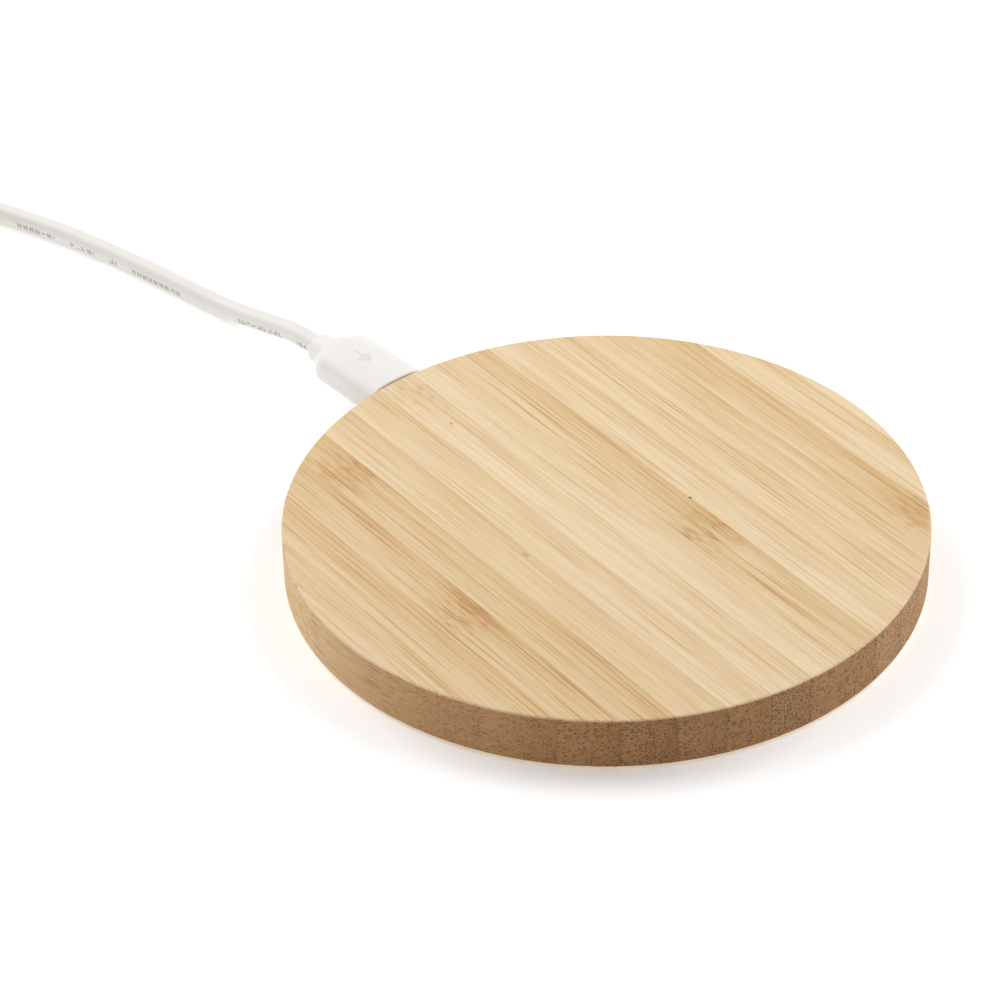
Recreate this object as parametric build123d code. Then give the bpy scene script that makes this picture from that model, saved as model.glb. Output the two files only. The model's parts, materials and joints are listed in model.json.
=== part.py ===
"""Round bamboo wireless charging pad with a plug-in cable.

A solid bamboo disc is milled out from below. The pocket holds the transmitting coil on its
ferrite shield, and an arc-shaped circuit board with the charging port on its outer edge.
A thin cover with four rubber feet closes it. The cable's small plug pulls out of the port.

Millimetres. The origin is the middle of the pad where it stands on the table, +Z is up, and
the port and its plug look along +Y.
"""

import math
import os

from build123d import *

# ---------------------------------------------------------------- pad, overall
PAD_DIAMETER = 100.0
WOOD_THICKNESS = 8.8
FOOT_PROUD = 0.5
TOP_EDGE_ROUND = 0.4
BOTTOM_EDGE_ROUND = 0.5

# ---------------------------------------------------------------- milled pocket and cover
CEILING = 2.0
POCKET_RADIUS = 44.0
COVER_RADIUS = 47.2
COVER_GAP = 0.15
COVER_THICKNESS = 1.2
SCREW_ANGLES = (20.0, 160.0, 200.0, 340.0)
SCREW_CIRCLE = 42.5
SCREW_RADIUS = 0.95
SCREW_BITE = 3.6
SCREW_HEAD_RADIUS = 1.8
SCREW_HEAD_DEPTH = 0.85
SCREW_SUNK = 0.1
LAND_RADIUS = 3.6
FOOT_ANGLES = {"front_left": 232.0, "front_right": 308.0, "back_left": 128.0, "back_right": 52.0}
FOOT_CIRCLE = 36.5
FOOT_RADIUS = 4.5
FOOT_SEAT = 0.6
FOOT_EDGE_ROUND = 0.35
LABEL_SIZE = (34.0, 16.0)
LABEL_CORNER = 2.0
LABEL_THICKNESS = 0.12
LABEL_SEAT = 0.2

# ---------------------------------------------------------------- charging port
PORT_WIDTH = 7.6
PORT_HEIGHT = 2.7
PORT_DEPTH = 6.2
PORT_WALL = 0.3
PORT_SETBACK = 0.8
WINDOW_GAP = 0.35
RELIEF_WIDTH = 15.0
RELIEF_Y = 46.4
CONTACT_PITCH = 0.65
CONTACT_WIDTH = 0.35

# ---------------------------------------------------------------- circuit board
BOARD_THICKNESS = 1.0
BOARD_OUTER = 42.0
BOARD_INNER = 27.5
BOARD_HALF_ANGLE = 52.0
BOARD_TONGUE_WIDTH = 12.0
BOARD_POST_ANGLES = (55.0, 125.0)
BOARD_POST_CIRCLE = 36.0
BOARD_POST_RADIUS = 2.6
BOARD_SCREW_RADIUS = 0.75
BOARD_SCREW_BITE = 2.6
BOARD_SCREW_HEAD_RADIUS = 1.5
BOARD_SCREW_HEAD = 0.6
LAMP_X = 12.0
LAMP_SIZE = (3.0, 1.1)
LAMP_FACE = 40.0
LIGHT_PIPE_RADIUS = 1.0
LIGHT_PIPE_START = 40.8
RIM_GAP = 0.02

# ---------------------------------------------------------------- coil and shield
WINDING_INNER = 10.4
WINDING_TURNS = 10
WINDING_PITCH = 1.17
WIRE_WIDTH = 1.04
WIRE_HEIGHT = 1.2
TAPE_THICKNESS = 0.2
SHIELD_RADIUS = 25.0
SHIELD_THICKNESS = 0.9
SHIELD_SLOT = 2.4
LEAD_RADIUS = 0.38
LEAD_BEND = 0.8
LEAD_PAD_Y = 29.8

# ---------------------------------------------------------------- the plug in the port
PLUG_WIDTH = 10.8
PLUG_THICKNESS = 6.8
PLUG_CORNER = 2.7
PLUG_FRONT = 50.15
PLUG_REAR = 66.8
PLUG_REAR_ROUND = 2.3
NECK_END = 71.8
NECK_BASE_RADIUS = 3.0
NECK_END_RADIUS = 1.95
TIP_WIDTH = 6.8
TIP_HEIGHT = 1.8
TIP_CHAMFER = 0.75
TIP_WALL = 0.25
TIP_REACH = 6.6
TIP_ROOT = 4.5
TIP_GAP = 0.1
LATCH_X = 1.7
LATCH_WIDTH = 0.5
LATCH_START = 1.3
LATCH_LENGTH = 2.4

# ---------------------------------------------------------------- the cord
CORD_DIAMETER = 3.5
CORD_LAY = 1.8
ARC_SHARE = 0.45
COIL_CENTRE = (-45.0, 156.5)
COIL_OUTER_TURN = 26.4
COIL_INNER_TURN = 15.6
COIL_HEIGHT = 7.1
COIL_EXIT_ANGLE = 150.0
COIL_LAST_TURN = 24.6
TIE_ANGLE = 265.0
TIE_WIDTH = 8.0
TIE_THICKNESS = 0.8
TIE_SLACK = 0.2

# ---------------------------------------------------------------- the supply plug at the far end
SUPPLY_WIDTH = 15.6
SUPPLY_THICKNESS = 7.8
SUPPLY_BODY = 19.0
SUPPLY_RELIEF = 9.0
SUPPLY_TIP_WIDTH = 12.0
SUPPLY_TIP_HEIGHT = 4.5
SUPPLY_TIP_LENGTH = 18.75
SUPPLY_TIP_ROOT = 3.0
SUPPLY_TIP_WALL = 0.3
SUPPLY_LIFT = 4.0
SUPPLY_TONGUE = 1.85
CATCH_X = 2.85
CATCH_SIZE = 2.3
CATCH_REACH = 6.6

# ---------------------------------------------------------------- worked out from those
PAD_RADIUS = PAD_DIAMETER / 2
WOOD_BOTTOM = FOOT_PROUD
WOOD_TOP = WOOD_BOTTOM + WOOD_THICKNESS
PORT_Z = WOOD_BOTTOM + WOOD_THICKNESS / 2
POCKET_CEILING = WOOD_TOP - CEILING
COVER_TOP = WOOD_BOTTOM + COVER_THICKNESS
BOARD_TOP = PORT_Z - PORT_HEIGHT / 2
BOARD_BOTTOM = BOARD_TOP - BOARD_THICKNESS
TAPE_BOTTOM = POCKET_CEILING - TAPE_THICKNESS
WIRE_BOTTOM = TAPE_BOTTOM - WIRE_HEIGHT
SHIELD_BOTTOM = WIRE_BOTTOM - SHIELD_THICKNESS
WINDING_OUTER = WINDING_INNER + WINDING_TURNS * WINDING_PITCH
PORT_MOUTH = PAD_RADIUS - PORT_SETBACK
PORT_BACK = PORT_MOUTH - PORT_DEPTH
TIP_END = PLUG_FRONT - TIP_REACH
RING_INNER = COIL_INNER_TURN - CORD_DIAMETER / 2
RING_OUTER = COIL_OUTER_TURN + CORD_DIAMETER / 2
RING_MIDDLE = (RING_INNER + RING_OUTER) / 2
SUPPLY_FRONT = SUPPLY_RELIEF + SUPPLY_BODY
SUPPLY_INNER_WIDTH = SUPPLY_TIP_WIDTH - 2 * SUPPLY_TIP_WALL
SUPPLY_INNER_HEIGHT = SUPPLY_TIP_HEIGHT - 2 * SUPPLY_TIP_WALL

# The cord's route from the plug's neck to the coil: straight out, down to the table, and then
# along it in a slow bend that tightens into the first turn of the coil.
CORD_ROUTE = [
    (0.0, NECK_END, PORT_Z),
    (0.0, 76.6, PORT_Z),
    (-0.7, 84.5, 3.45),
    (-1.8, 95.0, CORD_LAY),
    (-3.7, 108.5, CORD_LAY),
    (-5.7, 121.0, CORD_LAY),
    (-8.3, 133.5, CORD_LAY),
    (-12.2, 146.0, CORD_LAY),
    (-16.7, 157.2, CORD_LAY),
    (-20.5, 166.3, CORD_LAY),
]
# The cord's tail, in the frame of the place where it leaves the coil: x outwards, y onwards.
TAIL_ROUTE = [
    (0.0, 0.0, 5.4),
    (0.2, 9.8, 5.6),
    (1.1, 19.5, SUPPLY_LIFT),
    (1.1, 29.0, SUPPLY_LIFT),
]


def around(radius, degrees, z=0.0):
    """The point at this radius and angle about the pad's axis."""
    angle = math.radians(degrees)
    return Vector(radius * math.cos(angle), radius * math.sin(angle), z)


def rod(radius, low, high, x=0.0, y=0.0):
    """An upright cylinder between two heights."""
    return Pos(x, y, (low + high) / 2) * Cylinder(radius, high - low)


def block(x, y, z):
    """A box from its (low, high) pair along each axis."""
    middle = [(low + high) / 2 for low, high in (x, y, z)]
    sides = [high - low for low, high in (x, y, z)]
    return Pos(*middle) * Box(*sides)


def facing_port(y, x=0.0, z=PORT_Z):
    """The plane across the port's axis at y, its normal along +Y and its own y upwards."""
    return Plane(origin=(x, y, z), x_dir=(-1, 0, 0), z_dir=(0, 1, 0))


def prism(section, start, end):
    """A section, drawn about the port's axis, run from one y to another."""
    return extrude(facing_port(start) * section, amount=end - start)


def tip_section(inset):
    """The plug tip's keyed outline: a rectangle with its two lower corners cut off."""
    half = TIP_WIDTH / 2 - inset
    top = TIP_HEIGHT / 2 - inset
    cut = TIP_CHAMFER - inset * (math.sqrt(2) - 1)
    outline = [(-half, top), (half, top), (half, cut - top), (half - cut, -top)]
    outline += [(cut - half, -top), (-half, cut - top)]
    return make_face(Polyline(*outline, close=True))


def tube(points, radius, radii=None):
    """A round tube along straight runs that are joined by tangent arcs."""
    path = FilletPolyline(*points, radius=radii or route_radii(points))
    solid = sweep(Plane(path @ 0, z_dir=path % 0) * Circle(radius), path=path)
    expected = math.pi * radius**2 * path.length
    print(f"tube {path.length:.1f} long, volume {solid.volume / expected:.4f} of section x length")
    return solid


def route_radii(points):
    """Each arc as large as its two runs allow."""
    corners = [Vector(*p) for p in points]
    radii = []
    for before, here, after in zip(corners, corners[1:], corners[2:]):
        turn = math.radians((here - before).get_angle(after - here))
        shorter = min((here - before).length, (after - here).length)
        radii.append(ARC_SHARE * shorter / math.tan(turn / 2))
    print("arc radii", [round(r, 1) for r in radii])
    return radii


# ---------------------------------------------------------------- the wooden body and its cover
def bamboo_body():
    """The disc, milled out from below, with the port's window and the lamp's hole in its rim."""
    disc = rod(PAD_RADIUS, WOOD_BOTTOM, WOOD_TOP)
    rims = disc.edges().filter_by(GeomType.CIRCLE).sort_by(Axis.Z)
    disc = fillet(rims[-1], TOP_EDGE_ROUND)
    rims = disc.edges().filter_by(GeomType.CIRCLE).sort_by(Axis.Z)
    disc = fillet(rims[0], BOTTOM_EDGE_ROUND)
    pocket = rod(POCKET_RADIUS, WOOD_BOTTOM, POCKET_CEILING)
    pocket += block((-RELIEF_WIDTH / 2, RELIEF_WIDTH / 2), (0, RELIEF_Y), (WOOD_BOTTOM, POCKET_CEILING))
    for angle in SCREW_ANGLES:
        place = around(SCREW_CIRCLE, angle)
        pocket -= rod(LAND_RADIUS, COVER_TOP, POCKET_CEILING, place.X, place.Y)
    for angle in BOARD_POST_ANGLES:
        place = around(BOARD_POST_CIRCLE, angle)
        pocket -= rod(BOARD_POST_RADIUS, BOARD_TOP, POCKET_CEILING, place.X, place.Y)
    wood = disc - pocket - rod(COVER_RADIUS + COVER_GAP, WOOD_BOTTOM, COVER_TOP)
    window = RectangleRounded(PORT_WIDTH + 2 * WINDOW_GAP, PORT_HEIGHT + 2 * WINDOW_GAP, 0.6)
    wood -= prism(window, RELIEF_Y - 1.0, PAD_RADIUS + 1.0)
    wood -= light_pipe_bar()
    for angle in SCREW_ANGLES:
        place = around(SCREW_CIRCLE, angle)
        wood -= rod(SCREW_RADIUS, COVER_TOP - 1.0, COVER_TOP + SCREW_BITE, place.X, place.Y)
    for angle in BOARD_POST_ANGLES:
        place = around(BOARD_POST_CIRCLE, angle)
        wood -= rod(BOARD_SCREW_RADIUS, BOARD_TOP - 1.0, BOARD_TOP + BOARD_SCREW_BITE, place.X, place.Y)
    return wood


def bottom_cover():
    """The thin plate let into the underside, with a seat for each foot and screw head."""
    plate = rod(COVER_RADIUS, WOOD_BOTTOM, COVER_TOP)
    for angle in FOOT_ANGLES.values():
        place = around(FOOT_CIRCLE, angle)
        plate -= rod(FOOT_RADIUS, WOOD_BOTTOM, WOOD_BOTTOM + FOOT_SEAT, place.X, place.Y)
    for angle in SCREW_ANGLES:
        place = around(SCREW_CIRCLE, angle)
        plate -= rod(SCREW_RADIUS, WOOD_BOTTOM, COVER_TOP, place.X, place.Y)
        plate -= screw_head(place)
        plate -= rod(SCREW_HEAD_RADIUS, WOOD_BOTTOM, WOOD_BOTTOM + SCREW_SUNK, place.X, place.Y)
    return plate - label_plate(LABEL_SEAT, LABEL_SEAT)


def label_plate(thickness, gap):
    """A rounded rectangle up from the underside, this much larger than the label all round."""
    width, height = LABEL_SIZE
    outline = RectangleRounded(width + gap, height + gap, LABEL_CORNER)
    return Pos(0, 0, WOOD_BOTTOM) * extrude(outline, amount=thickness)


def rating_label():
    """The plain sticker in its shallow seat in the middle of the underside."""
    return Pos(0, 0, LABEL_SEAT - LABEL_THICKNESS) * label_plate(LABEL_THICKNESS, 0)


def screw_head(place):
    """A countersunk head, sunk a hair under the cover's face."""
    cone = Cone(SCREW_HEAD_RADIUS, SCREW_RADIUS, SCREW_HEAD_DEPTH)
    return Pos(place.X, place.Y, WOOD_BOTTOM + SCREW_SUNK + SCREW_HEAD_DEPTH / 2) * cone


def cross_recess(place, low, depth, reach):
    """The cross-shaped socket that a driver turns, cut up into a head from low."""
    cross = Box(2 * reach, 0.3 * reach, depth) + Box(0.3 * reach, 2 * reach, depth)
    return Pos(place.X, place.Y, low + depth / 2) * cross


def cover_screws():
    """Four small wood screws that hold the cover; the threads are left plain."""
    screws = []
    for angle in SCREW_ANGLES:
        place = around(SCREW_CIRCLE, angle)
        screw = screw_head(place)
        screw += rod(SCREW_RADIUS, COVER_TOP - 0.3, COVER_TOP + SCREW_BITE, place.X, place.Y)
        screws.append(screw - cross_recess(place, WOOD_BOTTOM + SCREW_SUNK, 0.5, 1.0))
    return Compound(children=screws)


def foot(angle):
    """A round rubber foot with a soft lower edge, glued into its seat in the cover."""
    place = around(FOOT_CIRCLE, angle)
    pad = rod(FOOT_RADIUS, 0.0, WOOD_BOTTOM + FOOT_SEAT, place.X, place.Y)
    return fillet(pad.edges().sort_by(Axis.Z)[0], FOOT_EDGE_ROUND)


# ---------------------------------------------------------------- the lamp in the rim
def light_pipe_bar():
    """The round bar along +Y that the light pipe and its hole are both cut from."""
    return extrude(facing_port(LIGHT_PIPE_START, LAMP_X) * Circle(LIGHT_PIPE_RADIUS), amount=PAD_RADIUS)


def light_pipe():
    """The clear rod that carries the lamp's light to the rim, and ends flush with it."""
    return light_pipe_bar() & rod(PAD_RADIUS - RIM_GAP, WOOD_BOTTOM, WOOD_TOP)


# ---------------------------------------------------------------- the circuit board and its parts
def circuit_board():
    """An arc-shaped board around the coil, with a tongue that carries the port."""
    low, high = BOARD_BOTTOM, BOARD_TOP
    ring = rod(BOARD_OUTER, low, high) - rod(BOARD_INNER, low, high)
    reach = 2 * BOARD_OUTER
    edge = math.radians(BOARD_HALF_ANGLE)
    wedge = Polyline((0, 0), (reach * math.sin(edge), reach * math.cos(edge)),
                     (-reach * math.sin(edge), reach * math.cos(edge)), close=True)
    board = ring & Pos(0, 0, low) * extrude(make_face(wedge), amount=BOARD_THICKNESS)
    half = BOARD_TONGUE_WIDTH / 2
    board += block((-half, half), (BOARD_OUTER - 3.0, RELIEF_Y - 0.2), (low, high))
    for angle in BOARD_POST_ANGLES:
        place = around(BOARD_POST_CIRCLE, angle)
        board -= rod(BOARD_SCREW_RADIUS, low, high, place.X, place.Y)
    return board


def board_screws():
    """Two small screws from below, through the board into the posts of the wood."""
    screws = []
    for angle in BOARD_POST_ANGLES:
        place = around(BOARD_POST_CIRCLE, angle)
        head_low = BOARD_BOTTOM - BOARD_SCREW_HEAD
        screw = rod(BOARD_SCREW_HEAD_RADIUS, head_low, BOARD_BOTTOM, place.X, place.Y)
        screw += rod(BOARD_SCREW_RADIUS, BOARD_BOTTOM, BOARD_TOP + BOARD_SCREW_BITE, place.X, place.Y)
        screws.append(screw - cross_recess(place, head_low, 0.4, 0.9))
    return Compound(children=screws)


def on_board(radius, degrees, size, turn=0.0):
    """A component body of this size on the board, its length along the arc."""
    place = around(radius, degrees, BOARD_TOP + size[2] / 2)
    return Pos(place) * Rot(0, 0, degrees - 90 + turn) * Box(*size)


def controller_chip():
    """The square chip that runs the charger."""
    body = on_board(34.5, 75.0, (6.0, 6.0, 0.9))
    return chamfer(body.edges().group_by(Axis.Z)[-1], 0.15)


def driver_chips():
    """The two eight-legged transistor pairs that drive the coil."""
    chips = []
    for angle in (100.0, 112.0):
        chip = on_board(33.5, angle, (3.9, 4.9, 1.4))
        for row in (-1, 1):
            for k in range(4):
                leg = Box(0.9, 0.42, 0.35)
                local = Pos(row * 2.3, (k - 1.5) * 1.27, 0)
                place = around(33.5, angle, BOARD_TOP + 0.175)
                chip += Pos(place) * Rot(0, 0, angle - 90) * local * leg
        chips.append(chip)
    return Compound(children=chips)


def resonant_capacitors():
    """Four stout ceramic blocks in series with the coil."""
    return Compound(children=[on_board(39.0, 94.5 + 6.0 * k, (3.2, 2.5, 2.0)) for k in range(4)])


def input_capacitors():
    """Two ceramic blocks behind the port."""
    return Compound(children=[on_board(35.5, angle, (1.25, 2.0, 1.25)) for angle in (87.0, 91.0)])


def filter_inductor():
    """The small shielded choke between the port and the drivers."""
    body = on_board(36.0, 65.0, (4.0, 4.0, 1.8))
    return fillet(body.edges().filter_by(Axis.Z), 0.8)


def resistors():
    """The small flat chips along the board's inner edge."""
    places = [(29.6, 50.0 + 6.5 * k) for k in range(5)] + [(39.6, 48.0 + 5.0 * k) for k in range(3)]
    return Compound(children=[on_board(r, a, (1.6, 0.8, 0.45)) for r, a in places])


def bypass_capacitors():
    """The small tan blocks that steady the supply."""
    places = [(29.6, 101.0 + 6.0 * k) for k in range(6)] + [(39.6, 131.0), (39.6, 136.0)]
    return Compound(children=[on_board(r, a, (1.6, 0.8, 0.8)) for r, a in places])


def indicator_lamp():
    """The side-looking light-emitting diode that faces the light pipe."""
    width, depth = LAMP_SIZE
    top = 2 * PORT_Z - BOARD_TOP
    return block((LAMP_X - width / 2, LAMP_X + width / 2), (LAMP_FACE - depth, LAMP_FACE), (BOARD_TOP, top))


# ---------------------------------------------------------------- the port
def port_shell():
    """The folded metal shell: closed at the back but for the tongue's root, open in front."""
    outer = prism(RectangleRounded(PORT_WIDTH, PORT_HEIGHT, 0.4), PORT_BACK, PORT_MOUTH)
    cavity = prism(tip_section(-TIP_GAP), PORT_BACK + PORT_WALL, PORT_MOUTH)
    return outer - cavity


def port_tongue():
    """The moulded tongue in the port, and the block at its root."""
    root_end = TIP_END - 0.1
    root = prism(tip_section(-TIP_GAP), PORT_BACK + PORT_WALL, root_end)
    low = PORT_Z - 0.58
    tongue = block((-2.6, 2.6), (root_end, PLUG_FRONT - 2.0), (low, PORT_Z - 0.12))
    return root + tongue


def contact_strips(y, z):
    """Five flat spring contacts side by side."""
    strips = []
    for k in range(5):
        x = (k - 2) * CONTACT_PITCH
        strips.append(block((x - CONTACT_WIDTH / 2, x + CONTACT_WIDTH / 2), y, z))
    return Compound(children=strips)


def port_contacts():
    """The port's five contacts, on top of its tongue."""
    return contact_strips((TIP_END - 0.1, PLUG_FRONT - 2.2), (PORT_Z - 0.12, PORT_Z - 0.05))


# ---------------------------------------------------------------- the coil under the pad's top
def transmit_coil():
    """The flat winding: half circles about two centres in turn join into one spiral band."""
    step = WINDING_PITCH / 4
    first = WINDING_INNER + WINDING_PITCH / 2
    outer, inner = [], []
    for k in range(2 * WINDING_TURNS):
        centre = (-step, 0) if k % 2 == 0 else (step, 0)
        start = 0 if k % 2 == 0 else 180
        radius = first + k * WINDING_PITCH / 2
        outer.append(CenterArc(centre, radius + WIRE_WIDTH / 2, start, 180))
        inner.append(CenterArc(centre, radius - WIRE_WIDTH / 2, start, 180))
    caps = [Line(outer[0] @ 0, inner[0] @ 0), Line(outer[-1] @ 1, inner[-1] @ 1)]
    band = make_face([*outer, *inner, *caps])
    return Pos(0, 0, WIRE_BOTTOM) * Rot(0, 0, 90) * extrude(band, amount=WIRE_HEIGHT)


def coil_tape():
    """The double-sided tape that holds the winding to the wood."""
    return rod(WINDING_OUTER, TAPE_BOTTOM, POCKET_CEILING) - rod(WINDING_INNER, TAPE_BOTTOM, POCKET_CEILING)


def ferrite_shield():
    """The thin black disc under the winding, slotted for the inner lead."""
    disc = rod(SHIELD_RADIUS, SHIELD_BOTTOM, WIRE_BOTTOM)
    half = SHIELD_SLOT / 2
    return disc - block((-half, half), (WINDING_INNER - 1.5, SHIELD_RADIUS), (SHIELD_BOTTOM, WIRE_BOTTOM))


def lead_inner():
    """The winding's inner end: down into the shield's slot, out along it, down to the board."""
    level = SHIELD_BOTTOM + SHIELD_THICKNESS / 2
    start = WINDING_INNER - 0.65
    top = TAPE_BOTTOM - 0.4
    points = [(0, start, top), (0, start, level), (0, LEAD_PAD_Y, level), (0, LEAD_PAD_Y, BOARD_TOP)]
    return tube(points, LEAD_RADIUS, [LEAD_BEND, LEAD_BEND])


def lead_outer():
    """The winding's outer end: on past the winding, out to the board and down to it."""
    level = WIRE_BOTTOM + WIRE_HEIGHT / 2
    start = WINDING_OUTER + WINDING_PITCH / 4
    x = -3.0
    points = [(0, start, level), (x, start, level), (x, LEAD_PAD_Y, level), (x, LEAD_PAD_Y, BOARD_TOP)]
    return tube(points, LEAD_RADIUS, [LEAD_BEND, LEAD_BEND])


# ---------------------------------------------------------------- the plug
def plug_overmould():
    """The moulded grip: a soft-cornered bar, round at the back, with a tapered neck."""
    bar = prism(RectangleRounded(PLUG_WIDTH, PLUG_THICKNESS, PLUG_CORNER), PLUG_FRONT, PLUG_REAR)
    bar = fillet(bar.faces().sort_by(Axis.Y)[-1].edges(), PLUG_REAR_ROUND)
    bar = fillet(bar.faces().sort_by(Axis.Y)[0].edges(), 0.3)
    neck_start = PLUG_REAR - 0.6
    neck = Cone(NECK_BASE_RADIUS, NECK_END_RADIUS, NECK_END - neck_start)
    bar += Pos(0, (neck_start + NECK_END) / 2, PORT_Z) * Rot(-90, 0, 0) * neck
    return bar - prism(tip_section(0), PLUG_FRONT, PLUG_FRONT + TIP_ROOT)


def latch_slots(gap):
    """The two slots in the tip's lower wall, or with no gap the latches that fill them."""
    low, high = PORT_Z - TIP_HEIGHT / 2, PORT_Z - TIP_HEIGHT / 2 + TIP_WALL
    half = LATCH_WIDTH / 2 + gap
    start = TIP_END + LATCH_START
    y = (start - gap, start + LATCH_LENGTH + gap)
    return [block((side * LATCH_X - half, side * LATCH_X + half), y, (low, high)) for side in (-1, 1)]


def plug_shell():
    """The plug tip's folded steel shell, rooted in the moulding."""
    shell = prism(tip_section(0), TIP_END, PLUG_FRONT + TIP_ROOT)
    shell -= prism(tip_section(TIP_WALL), TIP_END, PLUG_FRONT + TIP_ROOT)
    for slot in latch_slots(0.1):
        shell -= slot
    return shell


def plug_insulator():
    """The black moulding in the shell: solid at the root, a thin roof over the contacts."""
    root = prism(tip_section(TIP_WALL), PLUG_FRONT, PLUG_FRONT + TIP_ROOT)
    roof_top = PORT_Z + TIP_HEIGHT / 2 - TIP_WALL
    roof = block((-3.1, 3.1), (TIP_END + 0.4, PLUG_FRONT), (PORT_Z + 0.05, roof_top))
    return root + roof


def plug_contacts():
    """The plug's five contacts, on the underside of its roof."""
    return contact_strips((TIP_END + 0.7, PLUG_FRONT), (PORT_Z - 0.03, PORT_Z + 0.05))


def plug_latches():
    """The two sprung hooks in the tip's lower wall, pressed in."""
    return Compound(children=latch_slots(0.0))


# ---------------------------------------------------------------- the cord and what is on it
def cord():
    """The cord from the plug's neck to the coil."""
    return tube(CORD_ROUTE, CORD_DIAMETER / 2)


def coil_place(radius, degrees):
    """The frame at this radius and angle of the coil: x outwards, y onwards round it."""
    centre = Pos(*COIL_CENTRE, 0)
    return centre * Rot(0, 0, degrees) * Pos(radius, 0, 0)


def cord_coil():
    """The put-away length: one ring with the outer shape of all its turns."""
    section = RectangleRounded(RING_OUTER - RING_INNER, COIL_HEIGHT, CORD_DIAMETER / 2)
    ring = revolve(Plane.XZ * Pos(RING_MIDDLE, COIL_HEIGHT / 2) * section, Axis.Z)
    return Pos(*COIL_CENTRE, 0) * ring


def coil_tie():
    """The soft strap round all the turns."""
    width = RING_OUTER - RING_INNER + TIE_SLACK
    height = COIL_HEIGHT + TIE_SLACK - TIE_THICKNESS
    loop = RectangleRounded(width + 2 * TIE_THICKNESS, height + 2 * TIE_THICKNESS, 2.4)
    loop -= RectangleRounded(width, height, 1.6)
    lift = Pos(0, 0, height / 2 + TIE_THICKNESS)
    band = extrude(Plane.XZ * loop, amount=TIE_WIDTH / 2, both=True)
    return coil_place(RING_MIDDLE, TIE_ANGLE) * lift * band


def cord_tail():
    """The cord from the coil to the supply plug."""
    place = coil_place(COIL_LAST_TURN, COIL_EXIT_ANGLE)
    points = [(place * Pos(*p)).position for p in TAIL_ROUTE]
    return tube(points, CORD_DIAMETER / 2)


def supply_place():
    """The supply plug's own frame: its origin where the cord enters, y towards its tip."""
    return coil_place(COIL_LAST_TURN, COIL_EXIT_ANGLE) * Pos(*TAIL_ROUTE[-1])


def supply_section(start, width, height, corner):
    """A rounded rectangle across the supply plug, this far along it."""
    plane = Plane(origin=(0, start, 0), x_dir=(-1, 0, 0), z_dir=(0, 1, 0))
    return plane * RectangleRounded(width, height, corner)


def supply_overmould():
    """The larger moulded grip, with a ribbed neck that eases the cord's bending."""
    body = extrude(supply_section(SUPPLY_RELIEF, SUPPLY_WIDTH, SUPPLY_THICKNESS, 2.0), amount=SUPPLY_BODY)
    body = fillet(body.faces().sort_by(Axis.Y)[0].edges(), 1.6)
    body = fillet(body.faces().sort_by(Axis.Y)[-1].edges(), 0.5)
    neck = Pos(0, (SUPPLY_RELIEF + 0.6) / 2, 0) * Rot(-90, 0, 0) * Cone(2.2, 3.0, SUPPLY_RELIEF + 0.6)
    for k in range(4):
        rib = Cylinder(2.5 + 0.22 * k, 1.0)
        neck += Pos(0, 1.0 + 2.0 * k, 0) * Rot(90, 0, 0) * rib
    grip = body + neck
    root = supply_section(SUPPLY_FRONT - SUPPLY_TIP_ROOT, SUPPLY_TIP_WIDTH, SUPPLY_TIP_HEIGHT, 0.5)
    return supply_place() * (grip - extrude(root, amount=SUPPLY_TIP_ROOT))


def supply_shell():
    """The flat folded steel shell with its four square catch windows."""
    start = SUPPLY_FRONT - SUPPLY_TIP_ROOT
    length = SUPPLY_TIP_ROOT + SUPPLY_TIP_LENGTH
    shell = extrude(supply_section(start, SUPPLY_TIP_WIDTH, SUPPLY_TIP_HEIGHT, 0.5), amount=length)
    shell -= extrude(supply_section(start, SUPPLY_INNER_WIDTH, SUPPLY_INNER_HEIGHT, 0.2), amount=length)
    middle = SUPPLY_FRONT + CATCH_REACH
    for side in (-1, 1):
        x = side * CATCH_X
        half = CATCH_SIZE / 2
        through = (-SUPPLY_TIP_HEIGHT, SUPPLY_TIP_HEIGHT)
        shell -= block((x - half, x + half), (middle - half, middle + half), through)
    return supply_place() * shell


def supply_insulator():
    """The moulding in the supply plug: solid at the root, a flat tongue to the mouth."""
    root = supply_section(SUPPLY_FRONT - SUPPLY_TIP_ROOT, SUPPLY_INNER_WIDTH, SUPPLY_INNER_HEIGHT, 0.2)
    moulding = extrude(root, amount=SUPPLY_TIP_ROOT + 1.0)
    floor = -SUPPLY_INNER_HEIGHT / 2
    half = SUPPLY_INNER_WIDTH / 2 - 0.3
    reach = (SUPPLY_FRONT, SUPPLY_FRONT + SUPPLY_TIP_LENGTH - 0.4)
    moulding += block((-half, half), reach, (floor, floor + SUPPLY_TONGUE))
    return supply_place() * moulding


def supply_contacts():
    """The four flat contacts on the tongue; the outer two reach further forward."""
    low = SUPPLY_TONGUE - SUPPLY_INNER_HEIGHT / 2
    strips = []
    for x, reach in ((-3.5, 16.0), (-1.0, 15.0), (1.0, 15.0), (3.5, 16.0)):
        y = (SUPPLY_FRONT + 1.0, SUPPLY_FRONT + reach)
        strips.append(block((x - 0.5, x + 0.5), y, (low, low + 0.15)))
    return supply_place() * Compound(children=strips)


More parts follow.
